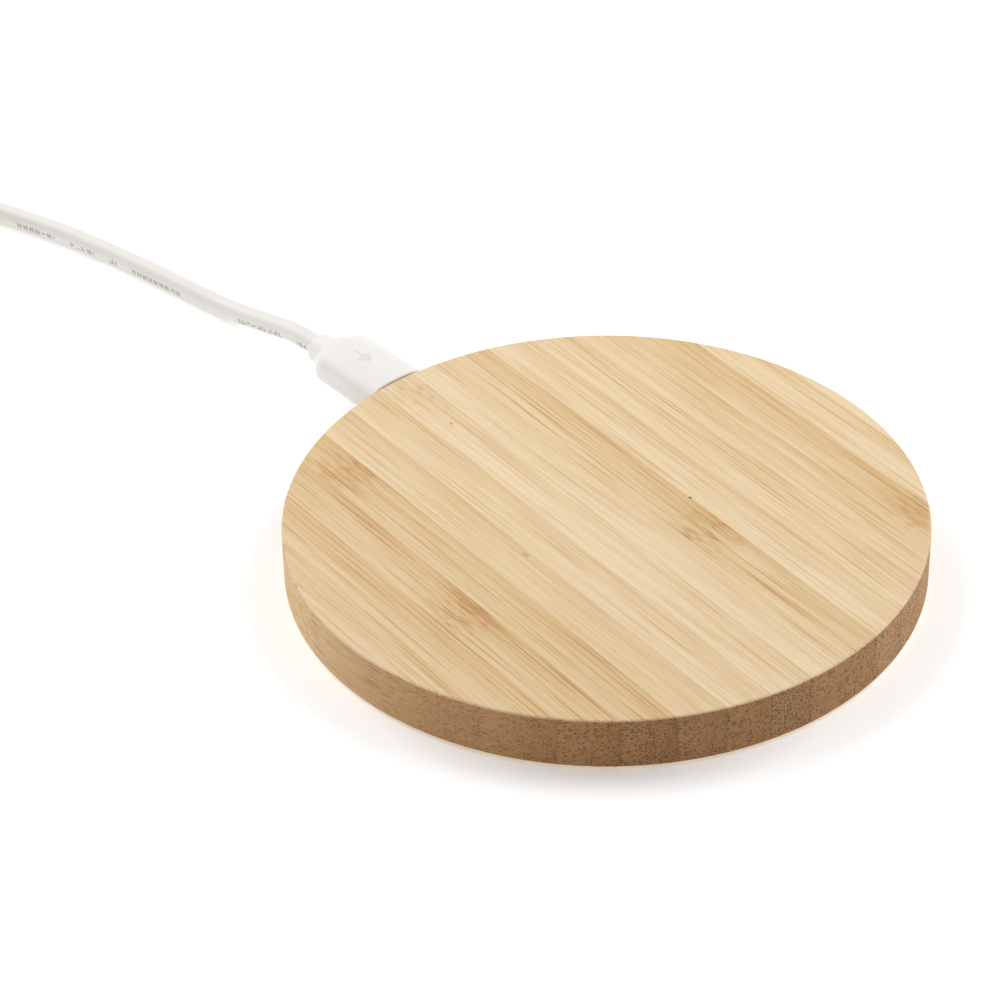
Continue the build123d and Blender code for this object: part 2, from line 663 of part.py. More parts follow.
NODES = {
    "bamboo_body": bamboo_body,
    "bottom_cover": bottom_cover,
    "cover_screws": cover_screws,
    "rating_label": rating_label,
    "circuit_board": circuit_board,
    "board_screws": board_screws,
    "controller_chip": controller_chip,
    "driver_chips": driver_chips,
    "resonant_capacitors": resonant_capacitors,
    "input_capacitors": input_capacitors,
    "filter_inductor": filter_inductor,
    "resistors": resistors,
    "bypass_capacitors": bypass_capacitors,
    "indicator_lamp": indicator_lamp,
    "light_pipe": light_pipe,
    "port_shell": port_shell,
    "port_tongue": port_tongue,
    "port_contacts": port_contacts,
    "transmit_coil": transmit_coil,
    "coil_tape": coil_tape,
    "ferrite_shield": ferrite_shield,
    "coil_lead_inner": lead_inner,
    "coil_lead_outer": lead_outer,
    "plug_overmould": plug_overmould,
    "plug_shell": plug_shell,
    "plug_insulator": plug_insulator,
    "plug_contacts": plug_contacts,
    "plug_latches": plug_latches,
    "cord": cord,
    "cord_coil": cord_coil,
    "coil_tie": coil_tie,
    "cord_tail": cord_tail,
    "supply_plug_overmould": supply_overmould,
    "supply_plug_shell": supply_shell,
    "supply_plug_insulator": supply_insulator,
    "supply_plug_contacts": supply_contacts,
}

os.makedirs("parts", exist_ok=True)
for name, make in NODES.items():
    export_step(make(), f"parts/{name}.step")
for side, angle in FOOT_ANGLES.items():
    export_step(foot(angle), f"parts/foot_{side}.step")
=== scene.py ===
# %% [markdown]
# # A round bamboo charging pad and its cable
#
# The pad is a disc of edge-glued bamboo strips, milled out from below for a coil and a small
# circuit board. A white cable plugs into its rim. Everything hard was drawn in CAD and arrives
# here as a fixed frame, so this file never moves a part. It makes the surfaces that people see
# and touch, each in the place of the part it stands for, and it gives every part a finish.
#
# All lengths are in metres. MM turns a size in millimetres into metres.

# %% Load the frame
import json
import math

import bmesh
import bpy
import numpy as np
from mathutils import Matrix, Vector

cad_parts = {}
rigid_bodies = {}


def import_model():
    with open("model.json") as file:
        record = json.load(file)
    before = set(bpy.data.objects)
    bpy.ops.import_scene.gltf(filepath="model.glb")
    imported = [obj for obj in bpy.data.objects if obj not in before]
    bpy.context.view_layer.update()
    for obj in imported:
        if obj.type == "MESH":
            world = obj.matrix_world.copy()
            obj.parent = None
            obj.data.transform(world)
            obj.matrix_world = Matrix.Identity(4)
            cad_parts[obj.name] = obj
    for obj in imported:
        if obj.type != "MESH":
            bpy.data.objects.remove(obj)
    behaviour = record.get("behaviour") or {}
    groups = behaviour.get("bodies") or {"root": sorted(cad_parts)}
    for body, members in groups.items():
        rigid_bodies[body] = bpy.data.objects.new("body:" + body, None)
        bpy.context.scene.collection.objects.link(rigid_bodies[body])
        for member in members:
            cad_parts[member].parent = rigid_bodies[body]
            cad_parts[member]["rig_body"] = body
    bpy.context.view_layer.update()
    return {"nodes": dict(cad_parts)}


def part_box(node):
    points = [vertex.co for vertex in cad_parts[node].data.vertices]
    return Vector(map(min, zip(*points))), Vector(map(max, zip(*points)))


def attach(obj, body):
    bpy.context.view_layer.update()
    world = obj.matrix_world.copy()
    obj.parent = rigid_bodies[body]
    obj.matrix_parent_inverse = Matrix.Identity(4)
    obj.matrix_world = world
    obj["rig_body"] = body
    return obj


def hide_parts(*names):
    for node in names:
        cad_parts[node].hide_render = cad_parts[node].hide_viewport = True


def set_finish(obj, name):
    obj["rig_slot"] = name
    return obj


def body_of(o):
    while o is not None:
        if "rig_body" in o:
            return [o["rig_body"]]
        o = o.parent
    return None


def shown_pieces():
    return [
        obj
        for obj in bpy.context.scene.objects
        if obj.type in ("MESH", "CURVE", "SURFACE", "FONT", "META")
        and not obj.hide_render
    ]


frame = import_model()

MM = 0.001
nodes = frame["nodes"]


def new_object(name, data):
    """An object with this data, linked into the scene."""
    made = bpy.data.objects.new(name, data)
    bpy.context.scene.collection.objects.link(made)
    return made


def applied(holder):
    """A new mesh: this object's shape with its modifiers applied."""
    graph = bpy.context.evaluated_depsgraph_get()
    return bpy.data.meshes.new_from_object(holder.evaluated_get(graph))


# %% [markdown]
# ## Where things are
#
# The frame says where each part is, so the places below are read from it. A part's box is its
# lowest and highest corner. The pad's axis is the Z axis, and the cable leaves along +Y.

# %% Read the driving sizes from the frame
wood_low, wood_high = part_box("bamboo_body")
PAD_RADIUS = (wood_high.y - wood_low.y) / 2
WOOD_BOTTOM = wood_low.z
WOOD_TOP = wood_high.z
plug_low, plug_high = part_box("plug_overmould")
PLUG_Z = (plug_low.z + plug_high.z) / 2
coil_low, coil_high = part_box("cord_coil")
COIL_X = (coil_low.x + coil_high.x) / 2
COIL_Y = (coil_low.y + coil_high.y) / 2
print("pad radius", round(PAD_RADIUS / MM, 2), "plug height", round(PLUG_Z / MM, 2))

# %% [markdown]
# ## The camera
#
# A long lens from a little over half a metre keeps the disc's ellipse flat and calm, as a
# catalogue picture has it. The camera stands on a line that looks back along its own -Z axis,
# so it is built from turns: round to the side, then up, then a hair of pan and tilt that
# places the pad below and right of the middle and leaves room for the cable.

# %% Set up the camera
CAMERA_AROUND = math.radians(-42.0)
CAMERA_ABOVE = math.radians(36.43)
CAMERA_DISTANCE = 0.57105
CAMERA_PAN = 0.028539
CAMERA_TILT = 0.003838
LENS = 133.2
SENSOR = 36.0


def stand_camera():
    """Looks at the middle of the pad's top from CAMERA_DISTANCE, then pans and tilts a little."""
    data = bpy.data.cameras.new("camera")
    data.lens = LENS
    data.sensor_width = SENSOR
    data.clip_start = 0.01
    data.clip_end = 20.0
    camera = new_object("camera", data)
    aim = Matrix.Rotation(CAMERA_AROUND, 4, "Z") @ Matrix.Rotation(math.pi / 2 - CAMERA_ABOVE, 4, "X")
    nudge = Matrix.Rotation(CAMERA_PAN, 4, "Y") @ Matrix.Rotation(CAMERA_TILT, 4, "X")
    place = Vector((0, 0, WOOD_TOP)) + aim.to_3x3() @ Vector((0, 0, CAMERA_DISTANCE))
    camera.matrix_world = Matrix.Translation(place) @ aim @ nudge
    bpy.context.scene.camera = camera
    return camera


camera = stand_camera()
print("camera at", [round(v, 3) for v in camera.location])

# %% [markdown]
# ## The cord's route
#
# The cord leaves the plug's neck level, comes down to the table and wanders off in a slow
# bend. What isn't needed is wound into a neat flat coil. The first points are given, one for
# each change of direction, and a smooth spline is pulled towards them. The coil's turns are
# worked out: the lower layer winds inwards a cord's width at a time, the upper one lies in its
# grooves and winds outwards, and each turn steps sideways in the same short stretch, where the
# layers cross. Under the strap the turns rise by the strap's thickness.

# %% List the route's points
CORD_DIAMETER = 3.5 * MM
CORD_RADIUS = CORD_DIAMETER / 2
FIRST_RUN = [
    (0.0, 0.0710, PLUG_Z),
    (0.0, 0.0766, PLUG_Z),
    (-0.0007, 0.0845, 0.00345),
    (-0.0018, 0.0950, 0.0018),
    (-0.0037, 0.1085, 0.0018),
    (-0.0057, 0.1210, 0.0018),
    (-0.0083, 0.1335, 0.0018),
    (-0.0122, 0.1460, 0.0018),
    (-0.0167, 0.1572, 0.0018),
    (-0.0202, 0.1663, 0.0018),
]
TAIL = [(0.0, 0.0, 0.0054), (0.0002, 0.0098, 0.0056), (0.0011, 0.0195, 0.0040), (0.0011, 0.0298, 0.0040)]
COIL_ENTRY = 21.8
COIL_EXIT = 150.0
TURN_RADII = np.array([26.4, 22.8, 19.2, 15.6, 17.4, 21.0, 24.6]) * MM
LOWER_LAYER = 1.8 * MM
UPPER_LAYER = 4.92 * MM
CROSSING_LIFT = 0.42 * MM
POINTS_PER_TURN = 20
STEP_START = 0.82
STRAP_ANGLE = 265.0
STRAP_THICKNESS = 0.8 * MM
STRAP_WIDTH = 8.0 * MM

# %% Wind the coil


def coil_height(turn, degrees):
    """Height of the cord after this many turns: on the table, then rising to the upper layer
    just before the fourth step, a little higher at each crossing, and higher over the strap."""
    layer = np.interp(turn, [3.5, STEP_START + 3, 6.1, 6.35], [0, 1, 1, 1.15])
    height = LOWER_LAYER + (UPPER_LAYER - LOWER_LAYER) * layer
    step = turn % 1.0
    crossing = np.interp(step, [STEP_START - 0.06, STEP_START, 0.98, 1.0], [0, 1, 1, 0.3])
    height = height + CROSSING_LIFT * crossing * (turn > 3.6)
    off_strap = np.abs((degrees - STRAP_ANGLE + 180) % 360 - 180)
    return height + STRAP_THICKNESS * np.interp(off_strap, [15, 36], [1, 0])


def coil_points():
    """Evenly spaced points round each turn. A spline cuts inside its points, by the cosine of
    half a step, so the points stand that much further out."""
    last = int((len(TURN_RADII) - 1 + (COIL_EXIT - COIL_ENTRY) / 360) * POINTS_PER_TURN) - 1
    turn = np.arange(1, last + 1) / POINTS_PER_TURN
    degrees = COIL_ENTRY + 360 * turn
    whole = np.arange(len(TURN_RADII))
    keys = np.stack([whole, whole + STEP_START], 1).ravel()
    radius = np.interp(turn, keys, np.repeat(TURN_RADII, 2)) / math.cos(math.pi / POINTS_PER_TURN)
    angle = np.radians(degrees)
    x = COIL_X + radius * np.cos(angle)
    y = COIL_Y + radius * np.sin(angle)
    return np.stack([x, y, coil_height(turn, degrees)], 1)


def coil_frame(radius, degrees):
    """The frame at this place of the coil: x outwards, y onwards round it, z up."""
    turn = Matrix.Rotation(math.radians(degrees), 4, "Z")
    return Matrix.Translation((COIL_X, COIL_Y, 0)) @ turn @ Matrix.Translation((radius, 0, 0))


def carried(points, frame_of_reference):
    """Points, an array ending in x, y, z, taken from this frame into the pad's."""
    place = np.array(frame_of_reference)
    return points @ place[:3, :3].T + place[:3, 3]


tail_frame = coil_frame(TURN_RADII[-1], COIL_EXIT)
tail_points = [tuple(tail_frame @ Vector(point)) for point in TAIL]
route = np.concatenate([FIRST_RUN, coil_points(), tail_points])
print("route points", len(route))

# %% [markdown]
# ## One smooth line for the cord
#
# Blender's NURBS spline of order 3 is a chain of parabolas that bends evenly, as a soft cable
# does. The order is set after the points are there, because a spline can't have an order
# above its number of points. The curve is turned into plain points once, and the tube
# follows those.

# %% Make the spline and read its line


def smooth_line(points, steps):
    """The line of an order-3 NURBS spline with these control points."""
    data = bpy.data.curves.new("cord_route", "CURVE")
    data.dimensions = "3D"
    spline = data.splines.new("NURBS")
    spline.points.add(len(points) - 1)
    weighted = np.concatenate([points, np.ones((len(points), 1))], 1)
    spline.points.foreach_set("co", weighted.ravel())
    spline.order_u = 3
    spline.use_endpoint_u = True
    spline.resolution_u = steps
    holder = bpy.data.objects.new("cord_route", data)
    mesh = bpy.data.meshes.new_from_object(holder)
    line = np.empty(len(mesh.vertices) * 3)
    mesh.vertices.foreach_get("co", line)
    bpy.data.meshes.remove(mesh)
    bpy.data.curves.remove(data)
    return line.reshape(-1, 3)


cord_line = smooth_line(route, 8)
run_lengths = np.linalg.norm(np.diff(cord_line, axis=0), axis=1)
CORD_LENGTH = float(run_lengths.sum())
print("cord length", round(CORD_LENGTH, 3), "points", len(cord_line))

# %% [markdown]
# ## Surfaces from rings
#
# Most pieces here are skins: rings of points, one after another, with a four-sided face
# between each pair of neighbours. A tube, a plug's grip and a turned disc differ only in how
# their rings are worked out, so one function joins rings for all of them.

# %% Helpers that turn arrays into meshes


def face_outwards(mesh, weld=0.0):
    """Turns every face of a closed mesh outwards, after joining points closer than weld."""
    work = bmesh.new()
    work.from_mesh(mesh)
    if weld:
        bmesh.ops.remove_doubles(work, verts=work.verts, dist=weld)
    bmesh.ops.recalc_face_normals(work, faces=work.faces)
    work.to_mesh(mesh)
    work.free()
    return mesh


def skin(name, rings, lengthwise=None):
    """Joins rings of points, an array of rings x points x 3, with four-sided faces, and closes
    the first and last ring with a flat face each. lengthwise gives each ring's place along the
    piece for a UV map, whose other direction is the share of the way round."""
    count, around = rings.shape[:2]
    index = np.arange(count * around).reshape(count, around)
    onward = np.roll(index, -1, axis=1)
    quads = np.stack([index[:-1], onward[:-1], onward[1:], index[1:]], -1).reshape(-1, 4)
    faces = quads.tolist() + [index[0, ::-1].tolist(), index[-1].tolist()]
    mesh = bpy.data.meshes.new(name)
    mesh.from_pydata(rings.reshape(-1, 3), [], faces)
    if lengthwise is not None:
        share = np.arange(around + 1) / around
        u = np.broadcast_to(np.asarray(lengthwise)[:, None], (count, around + 1))
        v = np.broadcast_to(share, (count, around + 1))
        uv = np.stack([u, v], -1)
        corners = np.stack([uv[:-1, :-1], uv[:-1, 1:], uv[1:, 1:], uv[1:, :-1]], 2)
        flat = np.zeros(len(mesh.loops) * 2)
        flat[: corners.size] = corners.ravel()
        mesh.uv_layers.new(name="along").data.foreach_set("uv", flat)
    return face_outwards(mesh)


def smooth(mesh, degrees=35.0):
    """Smooth shading, with edges sharper than this many degrees kept crisp."""
    mesh.shade_smooth()
    mesh.set_sharp_from_angle(angle=math.radians(degrees))
    return mesh


def add_piece(name, mesh, body, slot, *replaced):
    """Puts a mesh in the scene as a piece of this body that stands for these CAD nodes."""
    piece = new_object(name, mesh)
    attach(piece, body)
    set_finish(piece, slot)
    if replaced:
        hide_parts(*replaced)
    print(name, "faces", len(mesh.polygons))
    return piece


# %% [markdown]
# ## The cord's jacket
#
# The jacket is a soft tube. Each ring stands across the line, and its first point looks
# straight up, so the tube never twists and print along its side stays on that side. The UV
# map runs along the cord in millimetres and once round it.

# %% Sweep the jacket along the line


def tube_rings(line, radius, around):
    """A circle across the line at each of its points: cosine upwards and sine to the left."""
    forward = np.gradient(line, axis=0)
    forward /= np.linalg.norm(forward, axis=1, keepdims=True)
    left = np.cross([0.0, 0.0, 1.0], forward)
    left /= np.linalg.norm(left, axis=1, keepdims=True)
    up = np.cross(forward, left)
    angle = np.arange(around) * 2 * np.pi / around
    across = np.cos(angle)[None, :, None] * up[:, None] + np.sin(angle)[None, :, None] * left[:, None]
    return line[:, None] + radius * across


along_cord = np.concatenate([[0], np.cumsum(run_lengths)])
cord_mesh = smooth(skin("cord_jacket", tube_rings(cord_line, CORD_RADIUS, 28), along_cord / MM))
cord_piece = add_piece("cord_jacket", cord_mesh, "cable", "white_jacket", "cord", "cord_coil", "cord_tail")

# %% [markdown]
# ## The bamboo disc
#
# On the real pad the disc is cut from a glued panel, milled out underneath and sanded, with
# its edges barely broken. Here it is turned: a profile of radius and height goes round the
# axis. The pocket, the port's window, the lamp's hole and the screw holes are then carved out
# with exact booleans, as a router would cut them, so that the wood stays one closed solid.

# %% Turn and carve the disc
ROUND_STEPS = 7
DISC_SIDES = 360


def quarter(centre_r, centre_z, radius, start, end):
    """Points (radius, height) on an arc about a centre, from one angle to another in degrees."""
    angle = np.radians(np.linspace(start, end, ROUND_STEPS))
    return np.stack([centre_r + radius * np.cos(angle), centre_z + radius * np.sin(angle)], 1)


def turned_rings(profile, sides, x=0.0, y=0.0):
    """A profile of (radius, height) pairs carried round an upright axis at x, y."""
    angle = np.arange(sides) * 2 * np.pi / sides
    r = profile[:, 0][:, None]
    ring_x = x + r * np.cos(angle)
    ring_y = y + r * np.sin(angle)
    ring_z = np.broadcast_to(profile[:, 1][:, None], ring_x.shape)
    return np.stack([ring_x, ring_y, ring_z], -1)


def upright(radius, low, high, place=(0.0, 0.0), sides=48):
    """An upright cylinder, as a tool for carving."""
    return skin("tool", turned_rings(np.array([(radius, low), (radius, high)]), sides, *place))


def carve(mesh, tool, operation="DIFFERENCE"):
    """The mesh after an exact boolean with the tool; both inputs are used up."""
    holders = [new_object("carving", m) for m in (mesh, tool)]
    cut = holders[0].modifiers.new("cut", "BOOLEAN")
    cut.operation = operation
    cut.solver = "EXACT"
    cut.object = holders[1]
    result = applied(holders[0])
    for holder in holders:
        used = holder.data
        bpy.data.objects.remove(holder)
        bpy.data.meshes.remove(used)
    return result


def level(points, low, high):
    """An upright prism over an outline of (x, y) points, as a tool for carving."""
    outline = np.asarray(points, float)
    rings = np.stack([np.column_stack([outline, np.full(len(outline), z)]) for z in (low, high)])
    return skin("tool", rings)


def rounded_outline(half_width, half_height, corner, steps=8):
    """A rectangle with round corners, anticlockwise from its right side, as (x, y) points."""
    angle = np.radians(np.arange(4)[:, None] * 90 + np.linspace(0, 90, steps)[None])
    sign_x = np.array([1, -1, -1, 1])[:, None]
    sign_y = np.array([1, 1, -1, -1])[:, None]
    x = sign_x * (half_width - corner) + corner * np.cos(angle)
    y = sign_y * (half_height - corner) + corner * np.sin(angle)
    return np.stack([x.ravel(), y.ravel()], 1)


TOP_ROUND = 0.4 * MM
BOTTOM_ROUND = 0.5 * MM
cover_low, cover_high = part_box("bottom_cover")
COVER_GAP = 0.15 * MM
COVER_SEAT = (cover_high.x - cover_low.x) / 2 + COVER_GAP
POCKET_RADIUS = 44.0 * MM
POCKET_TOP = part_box("coil_tape")[1].z
PAST = 1.0 * MM
lower_round = quarter(PAD_RADIUS - BOTTOM_ROUND, WOOD_BOTTOM + BOTTOM_ROUND, BOTTOM_ROUND, -90, 0)
upper_round = quarter(PAD_RADIUS - TOP_ROUND, WOOD_TOP - TOP_ROUND, TOP_ROUND, 0, 90)
disc = skin("bamboo", turned_rings(np.concatenate([lower_round, upper_round]), DISC_SIDES))
print("disc faces", len(disc.polygons))

# %% [markdown]
# The pocket isn't a plain round hole. Round lands carry the cover's screws and two posts
# carry the board's, and a notch gives the port room at the rim. They are places where the
# router stayed away, so they are taken out of the tool before the tool cuts the wood.

# %% Mill the pocket from below
SCREW_CIRCLE = 42.5 * MM
SCREW_ANGLES = (20, 160, 200, 340)
LAND_RADIUS = 3.6 * MM
POST_CIRCLE = 36.0 * MM
POST_ANGLES = (55, 125)
POST_RADIUS = 2.6 * MM
SCREW_RADIUS = 0.95 * MM
BOARD_SCREW_RADIUS = 0.75 * MM
NOTCH_HALF = 7.5 * MM
NOTCH_END = 46.4 * MM
screw_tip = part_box("cover_screws")[1].z
board_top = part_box("circuit_board")[1].z


def around_axis(circle, degrees):
    """The (x, y) point on a circle about the pad's axis."""
    return circle * math.cos(math.radians(degrees)), circle * math.sin(math.radians(degrees))


def pocket_tool():
    """The milled space: a round pocket with a notch at the port, but for the lands and posts."""
    tool = upright(POCKET_RADIUS, WOOD_BOTTOM - PAST, POCKET_TOP, sides=240)
    notch = [(-NOTCH_HALF, 0.03), (NOTCH_HALF, 0.03), (NOTCH_HALF, NOTCH_END), (-NOTCH_HALF, NOTCH_END)]
    tool = carve(tool, level(notch, WOOD_BOTTOM - PAST / 2, POCKET_TOP - 0.01 * MM), "UNION")
    for degrees in SCREW_ANGLES:
        land = upright(LAND_RADIUS, cover_high.z, POCKET_TOP + PAST, around_axis(SCREW_CIRCLE, degrees))
        tool = carve(tool, land)
    for degrees in POST_ANGLES:
        post = upright(POST_RADIUS, board_top, POCKET_TOP + PAST, around_axis(POST_CIRCLE, degrees))
        tool = carve(tool, post)
    return tool


disc = carve(disc, pocket_tool())
disc = carve(disc, upright(COVER_SEAT, WOOD_BOTTOM - PAST, cover_high.z, sides=240))
for degrees in SCREW_ANGLES:
    hole = upright(SCREW_RADIUS, WOOD_BOTTOM, screw_tip, around_axis(SCREW_CIRCLE, degrees), 24)
    disc = carve(disc, hole)
for degrees in POST_ANGLES:
    place = around_axis(POST_CIRCLE, degrees)
    hole = upright(BOARD_SCREW_RADIUS, board_top - PAST, board_top + 2.6 * MM, place, 24)
    disc = carve(disc, hole)
print("milled disc faces", len(disc.polygons))

# %% [markdown]
# The window in the rim is a slot with round ends, a little wider than the port's shell, and
# its mouth is broken with a small flare so that a plug finds its way in. The lamp's hole is a
# plain drilled bore beside it.

# %% Cut the port's window and the lamp's hole
port_low, port_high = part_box("port_shell")
pipe_low, pipe_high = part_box("light_pipe")
WINDOW_GAP = 0.35 * MM
WINDOW_CORNER = 0.6 * MM
FLARE = 0.25 * MM


def bar_along_y(outline, stations, x, z):
    """An outline of (x, z) points run along Y; each station is (y, how much it grows)."""
    rings = []
    for y, growth in stations:
        reach = 1 + growth / np.abs(outline).max(axis=0)
        ring = outline * reach
        rings.append(np.column_stack([x + ring[:, 0], np.full(len(ring), y), z + ring[:, 1]]))
    return skin("tool", np.stack(rings))


window_half_width = (port_high.x - port_low.x) / 2 + WINDOW_GAP
window_half_height = (port_high.z - port_low.z) / 2 + WINDOW_GAP
window = rounded_outline(window_half_width, window_half_height, WINDOW_CORNER)
mouth = math.sqrt(PAD_RADIUS**2 - window_half_width**2)
stations = [(NOTCH_END - PAST, 0.0), (mouth - FLARE, 0.0), (PAD_RADIUS + PAST, FLARE + PAST)]
disc = carve(disc, bar_along_y(window, stations, 0.0, (port_low.z + port_high.z) / 2))
pipe_radius = (pipe_high.z - pipe_low.z) / 2
bore = rounded_outline(pipe_radius, pipe_radius, pipe_radius, 10)
bore_run = [(pipe_low.y - PAST, 0.0), (PAD_RADIUS + PAST, 0.0)]
disc = carve(disc, bar_along_y(bore, bore_run, (pipe_low.x + pipe_high.x) / 2, PLUG_Z))
add_piece("bamboo_disc", smooth(face_outwards(disc, 1e-6), 30), "pad", "bamboo", "bamboo_body")

# %% [markdown]
# ## The plug's grip
#
# The grip is one soft moulding: a flat bar with very round sides, round shoulders at the back
# and a short trumpet-shaped neck that eases the cord out. Its outline changes all the way
# along, so it is a loft: at each station a superellipse, which is an ellipse whose power
# decides how boxy it is, takes its half width and half height from two smooth profiles.
#
# The moulding sits a little high and a hair to one side of the metal tip, and it stops just
# short of the wood, so a thin dark gap shows between them. Its neck eases back to the tip's
# own line, so the cord leaves where the frame says.

# %% Loft the grip


def superellipse(half_width, half_height, power, angle):
    """Points (x, z) where |x / half width| to the power plus |z / half height| to the power is 1."""
    cosine, sine = np.cos(angle), np.sin(angle)
    x = half_width * np.sign(cosine) * np.abs(cosine) ** (2 / power)
    z = half_height * np.sign(sine) * np.abs(sine) ** (2 / power)
    return x, z


def loft(y, half_width, half_height, power, around=72):
    """Superellipse rings across the Y axis, one at each station y."""
    angle = np.arange(around)[None] * 2 * np.pi / around
    x, z = superellipse(half_width[:, None], half_height[:, None], power[:, None], angle)
    return np.stack([x, np.broadcast_to(y[:, None], x.shape), z], -1)


def end_round(from_end, radius):
    """How far a rounded end draws in at this distance from it: the radius less the height of
    a quarter circle."""
    into = np.clip(radius - from_end, 0, radius)
    return radius - np.sqrt(radius**2 - into**2)


def shoulder(y, end, radius, full):
    """A half size that stays full and then rounds off on a quarter circle up to the end."""
    into = np.clip((y - (end - radius)) / radius, 0, 1)
    return full - radius * (1 - np.sqrt(1 - into**2))


def blended_maximum(a, b, softness):
    """The larger of two profiles, with a fillet of about this softness where they cross."""
    return (a + b + np.sqrt((a - b) ** 2 + softness**2)) / 2


def ease(value, low, high):
    """0 up to low, 1 from high, and a smooth step between them."""
    t = np.clip((value - low) / (high - low), 0, 1)
    return t * t * (3 - 2 * t)


GRIP_HALF_WIDTH = (plug_high.x - plug_low.x) / 2 + 0.4 * MM
GRIP_HALF_HEIGHT = (plug_high.z - plug_low.z) / 2 - 0.2 * MM
GRIP_LIFT = 0.7 * MM
GRIP_ASIDE = 0.3 * MM
GRIP_FRONT = plug_low.y + 0.6 * MM
NECK_END = plug_high.y - 0.6 * MM
GRIP_REAR = 67.6 * MM
SHOULDER_IN_PLAN = 3.4 * MM
SHOULDER_IN_HEIGHT = 2.2 * MM
NECK_BASE = 3.2 * MM
NECK_TIP = 2.55 * MM
FRONT_ROUND = 0.3 * MM
LIP_ROUND = 0.45 * MM


def grip_rings():
    """The grip's rings from its flat front to the neck's lip."""
    front = GRIP_FRONT + FRONT_ROUND * (1 - np.cos(np.linspace(0, np.pi / 2, 5)))
    barrel = np.linspace(GRIP_FRONT + 2 * FRONT_ROUND, GRIP_REAR - 3.2 * MM, 8)
    back = np.linspace(GRIP_REAR - 3.0 * MM, GRIP_REAR, 22)
    neck = np.linspace(GRIP_REAR + 0.3 * MM, NECK_END - LIP_ROUND, 16)
    lip = NECK_END - LIP_ROUND * (1 - np.sin(np.linspace(0.3, np.pi / 2, 4)))
    y = np.concatenate([front, barrel, back, neck, lip])
    trumpet = np.clip((y - GRIP_REAR + 0.6 * MM) / (NECK_END - GRIP_REAR + 0.6 * MM), 0, 1)
    neck_radius = NECK_TIP + (NECK_BASE - NECK_TIP) * (1 - trumpet) ** 1.7
    inset = end_round(y - GRIP_FRONT, FRONT_ROUND) + end_round(NECK_END - y, LIP_ROUND)
    bar_width = shoulder(y, GRIP_REAR, SHOULDER_IN_PLAN, GRIP_HALF_WIDTH)
    bar_height = shoulder(y, GRIP_REAR, SHOULDER_IN_HEIGHT, GRIP_HALF_HEIGHT)
    half_width = blended_maximum(bar_width, neck_radius, 0.5 * MM) - inset
    half_height = blended_maximum(bar_height, neck_radius, 0.25 * MM) - inset
    power = 2.8 - 0.8 * ease(y, GRIP_REAR - 2.6 * MM, GRIP_REAR + 0.2 * MM)
    lean = 1 - ease(y, GRIP_REAR - 4 * MM, NECK_END)
    shift = np.stack([GRIP_ASIDE * lean, 0 * lean, PLUG_Z + GRIP_LIFT * lean], 1)
    return loft(y, half_width, half_height, power) + shift[:, None]


grip = smooth(skin("plug_grip", grip_rings()), 40)
grip_piece = add_piece("plug_grip", grip, "cable", "white_moulding", "plug_overmould")
print("grip from y", round(GRIP_FRONT / MM, 2), "to", round(NECK_END / MM, 2))

# %% [markdown]
# ## The strap round the coil
#
# A narrow strip of hook-and-loop tape holds the turns together. It goes once round the
# bundle and its end laps over the start. The strip's middle line is a rounded rectangle that
# moves out by one thickness for the lap, and a thin flat section with soft edges follows it.

# %% Wrap the strap
STRAP_SLACK = 0.1 * MM
STRAP_START = 0.07
STRAP_LAP = 0.30
STRAP_POWER = 5.0
turns_low = (TURN_RADII.min() - CORD_RADIUS) - STRAP_SLACK
turns_high = (TURN_RADII.max() + CORD_RADIUS) + STRAP_SLACK
bundle_top = UPPER_LAYER + CORD_RADIUS + STRAP_THICKNESS + STRAP_SLACK


def strap_rings():
    """Stations once round the bundle and on over the lap; at each, a flat section 12 points
    round. Outwards is the unit vector from the bundle's middle, scaled by the half sizes."""
    travel = np.linspace(0.0, 1.0 + STRAP_LAP, 104)
    lap = ease(travel, 0.93, 1.0) + 0.02 * (travel > 1)
    out = STRAP_THICKNESS * (0.5 + lap)
    half_width = (turns_high - turns_low) / 2 + out
    half_height = (bundle_top - STRAP_THICKNESS) / 2 + out
    x, z = superellipse(half_width, half_height, STRAP_POWER, 2 * np.pi * (travel + STRAP_START))
    middle = np.stack([x + (turns_high + turns_low) / 2, z + (bundle_top + STRAP_THICKNESS) / 2], 1)
    along = np.gradient(middle, axis=0)
    along /= np.linalg.norm(along, axis=1, keepdims=True)
    outward = np.stack([along[:, 1], -along[:, 0]], 1)
    section = rounded_outline(STRAP_WIDTH / 2, STRAP_THICKNESS / 2, STRAP_THICKNESS * 0.45, 3)
    offset = middle[:, None] + outward[:, None] * section[None, :, 1:2]
    onward = np.broadcast_to(section[None, :, 0], offset.shape[:2])
    local = np.stack([offset[..., 0], onward, offset[..., 1]], -1)
    return carried(local, coil_frame(0.0, STRAP_ANGLE))


strap_mesh = skin("strap", strap_rings())
strap_piece = add_piece("coil_strap", smooth(strap_mesh, 50), "cable", "tie_grey", "coil_tie")

# %% [markdown]
# ## The supply plug's grip
#
# The larger plug at the far end has the same kind of moulding, with a ribbed neck. The ribs
# let the neck bend evenly. In the loft they are a row of soft waves added to the neck's
# radius. The loft is made in the plug's own frame and then carried to where the cord ends.

# %% Loft the supply plug's grip
SUPPLY_HALF_WIDTH = 7.8 * MM
SUPPLY_HALF_HEIGHT = 3.9 * MM
SUPPLY_RELIEF = 9.0 * MM
SUPPLY_END = 28.0 * MM
SUPPLY_ROUND = 0.5 * MM
RIB_PITCH = 2.0 * MM
RIB_HEIGHT = 0.42 * MM
TAIL_END = Vector((0.0011, 0.0290, 0.0040))
supply_frame = tail_frame @ Matrix.Translation(TAIL_END)


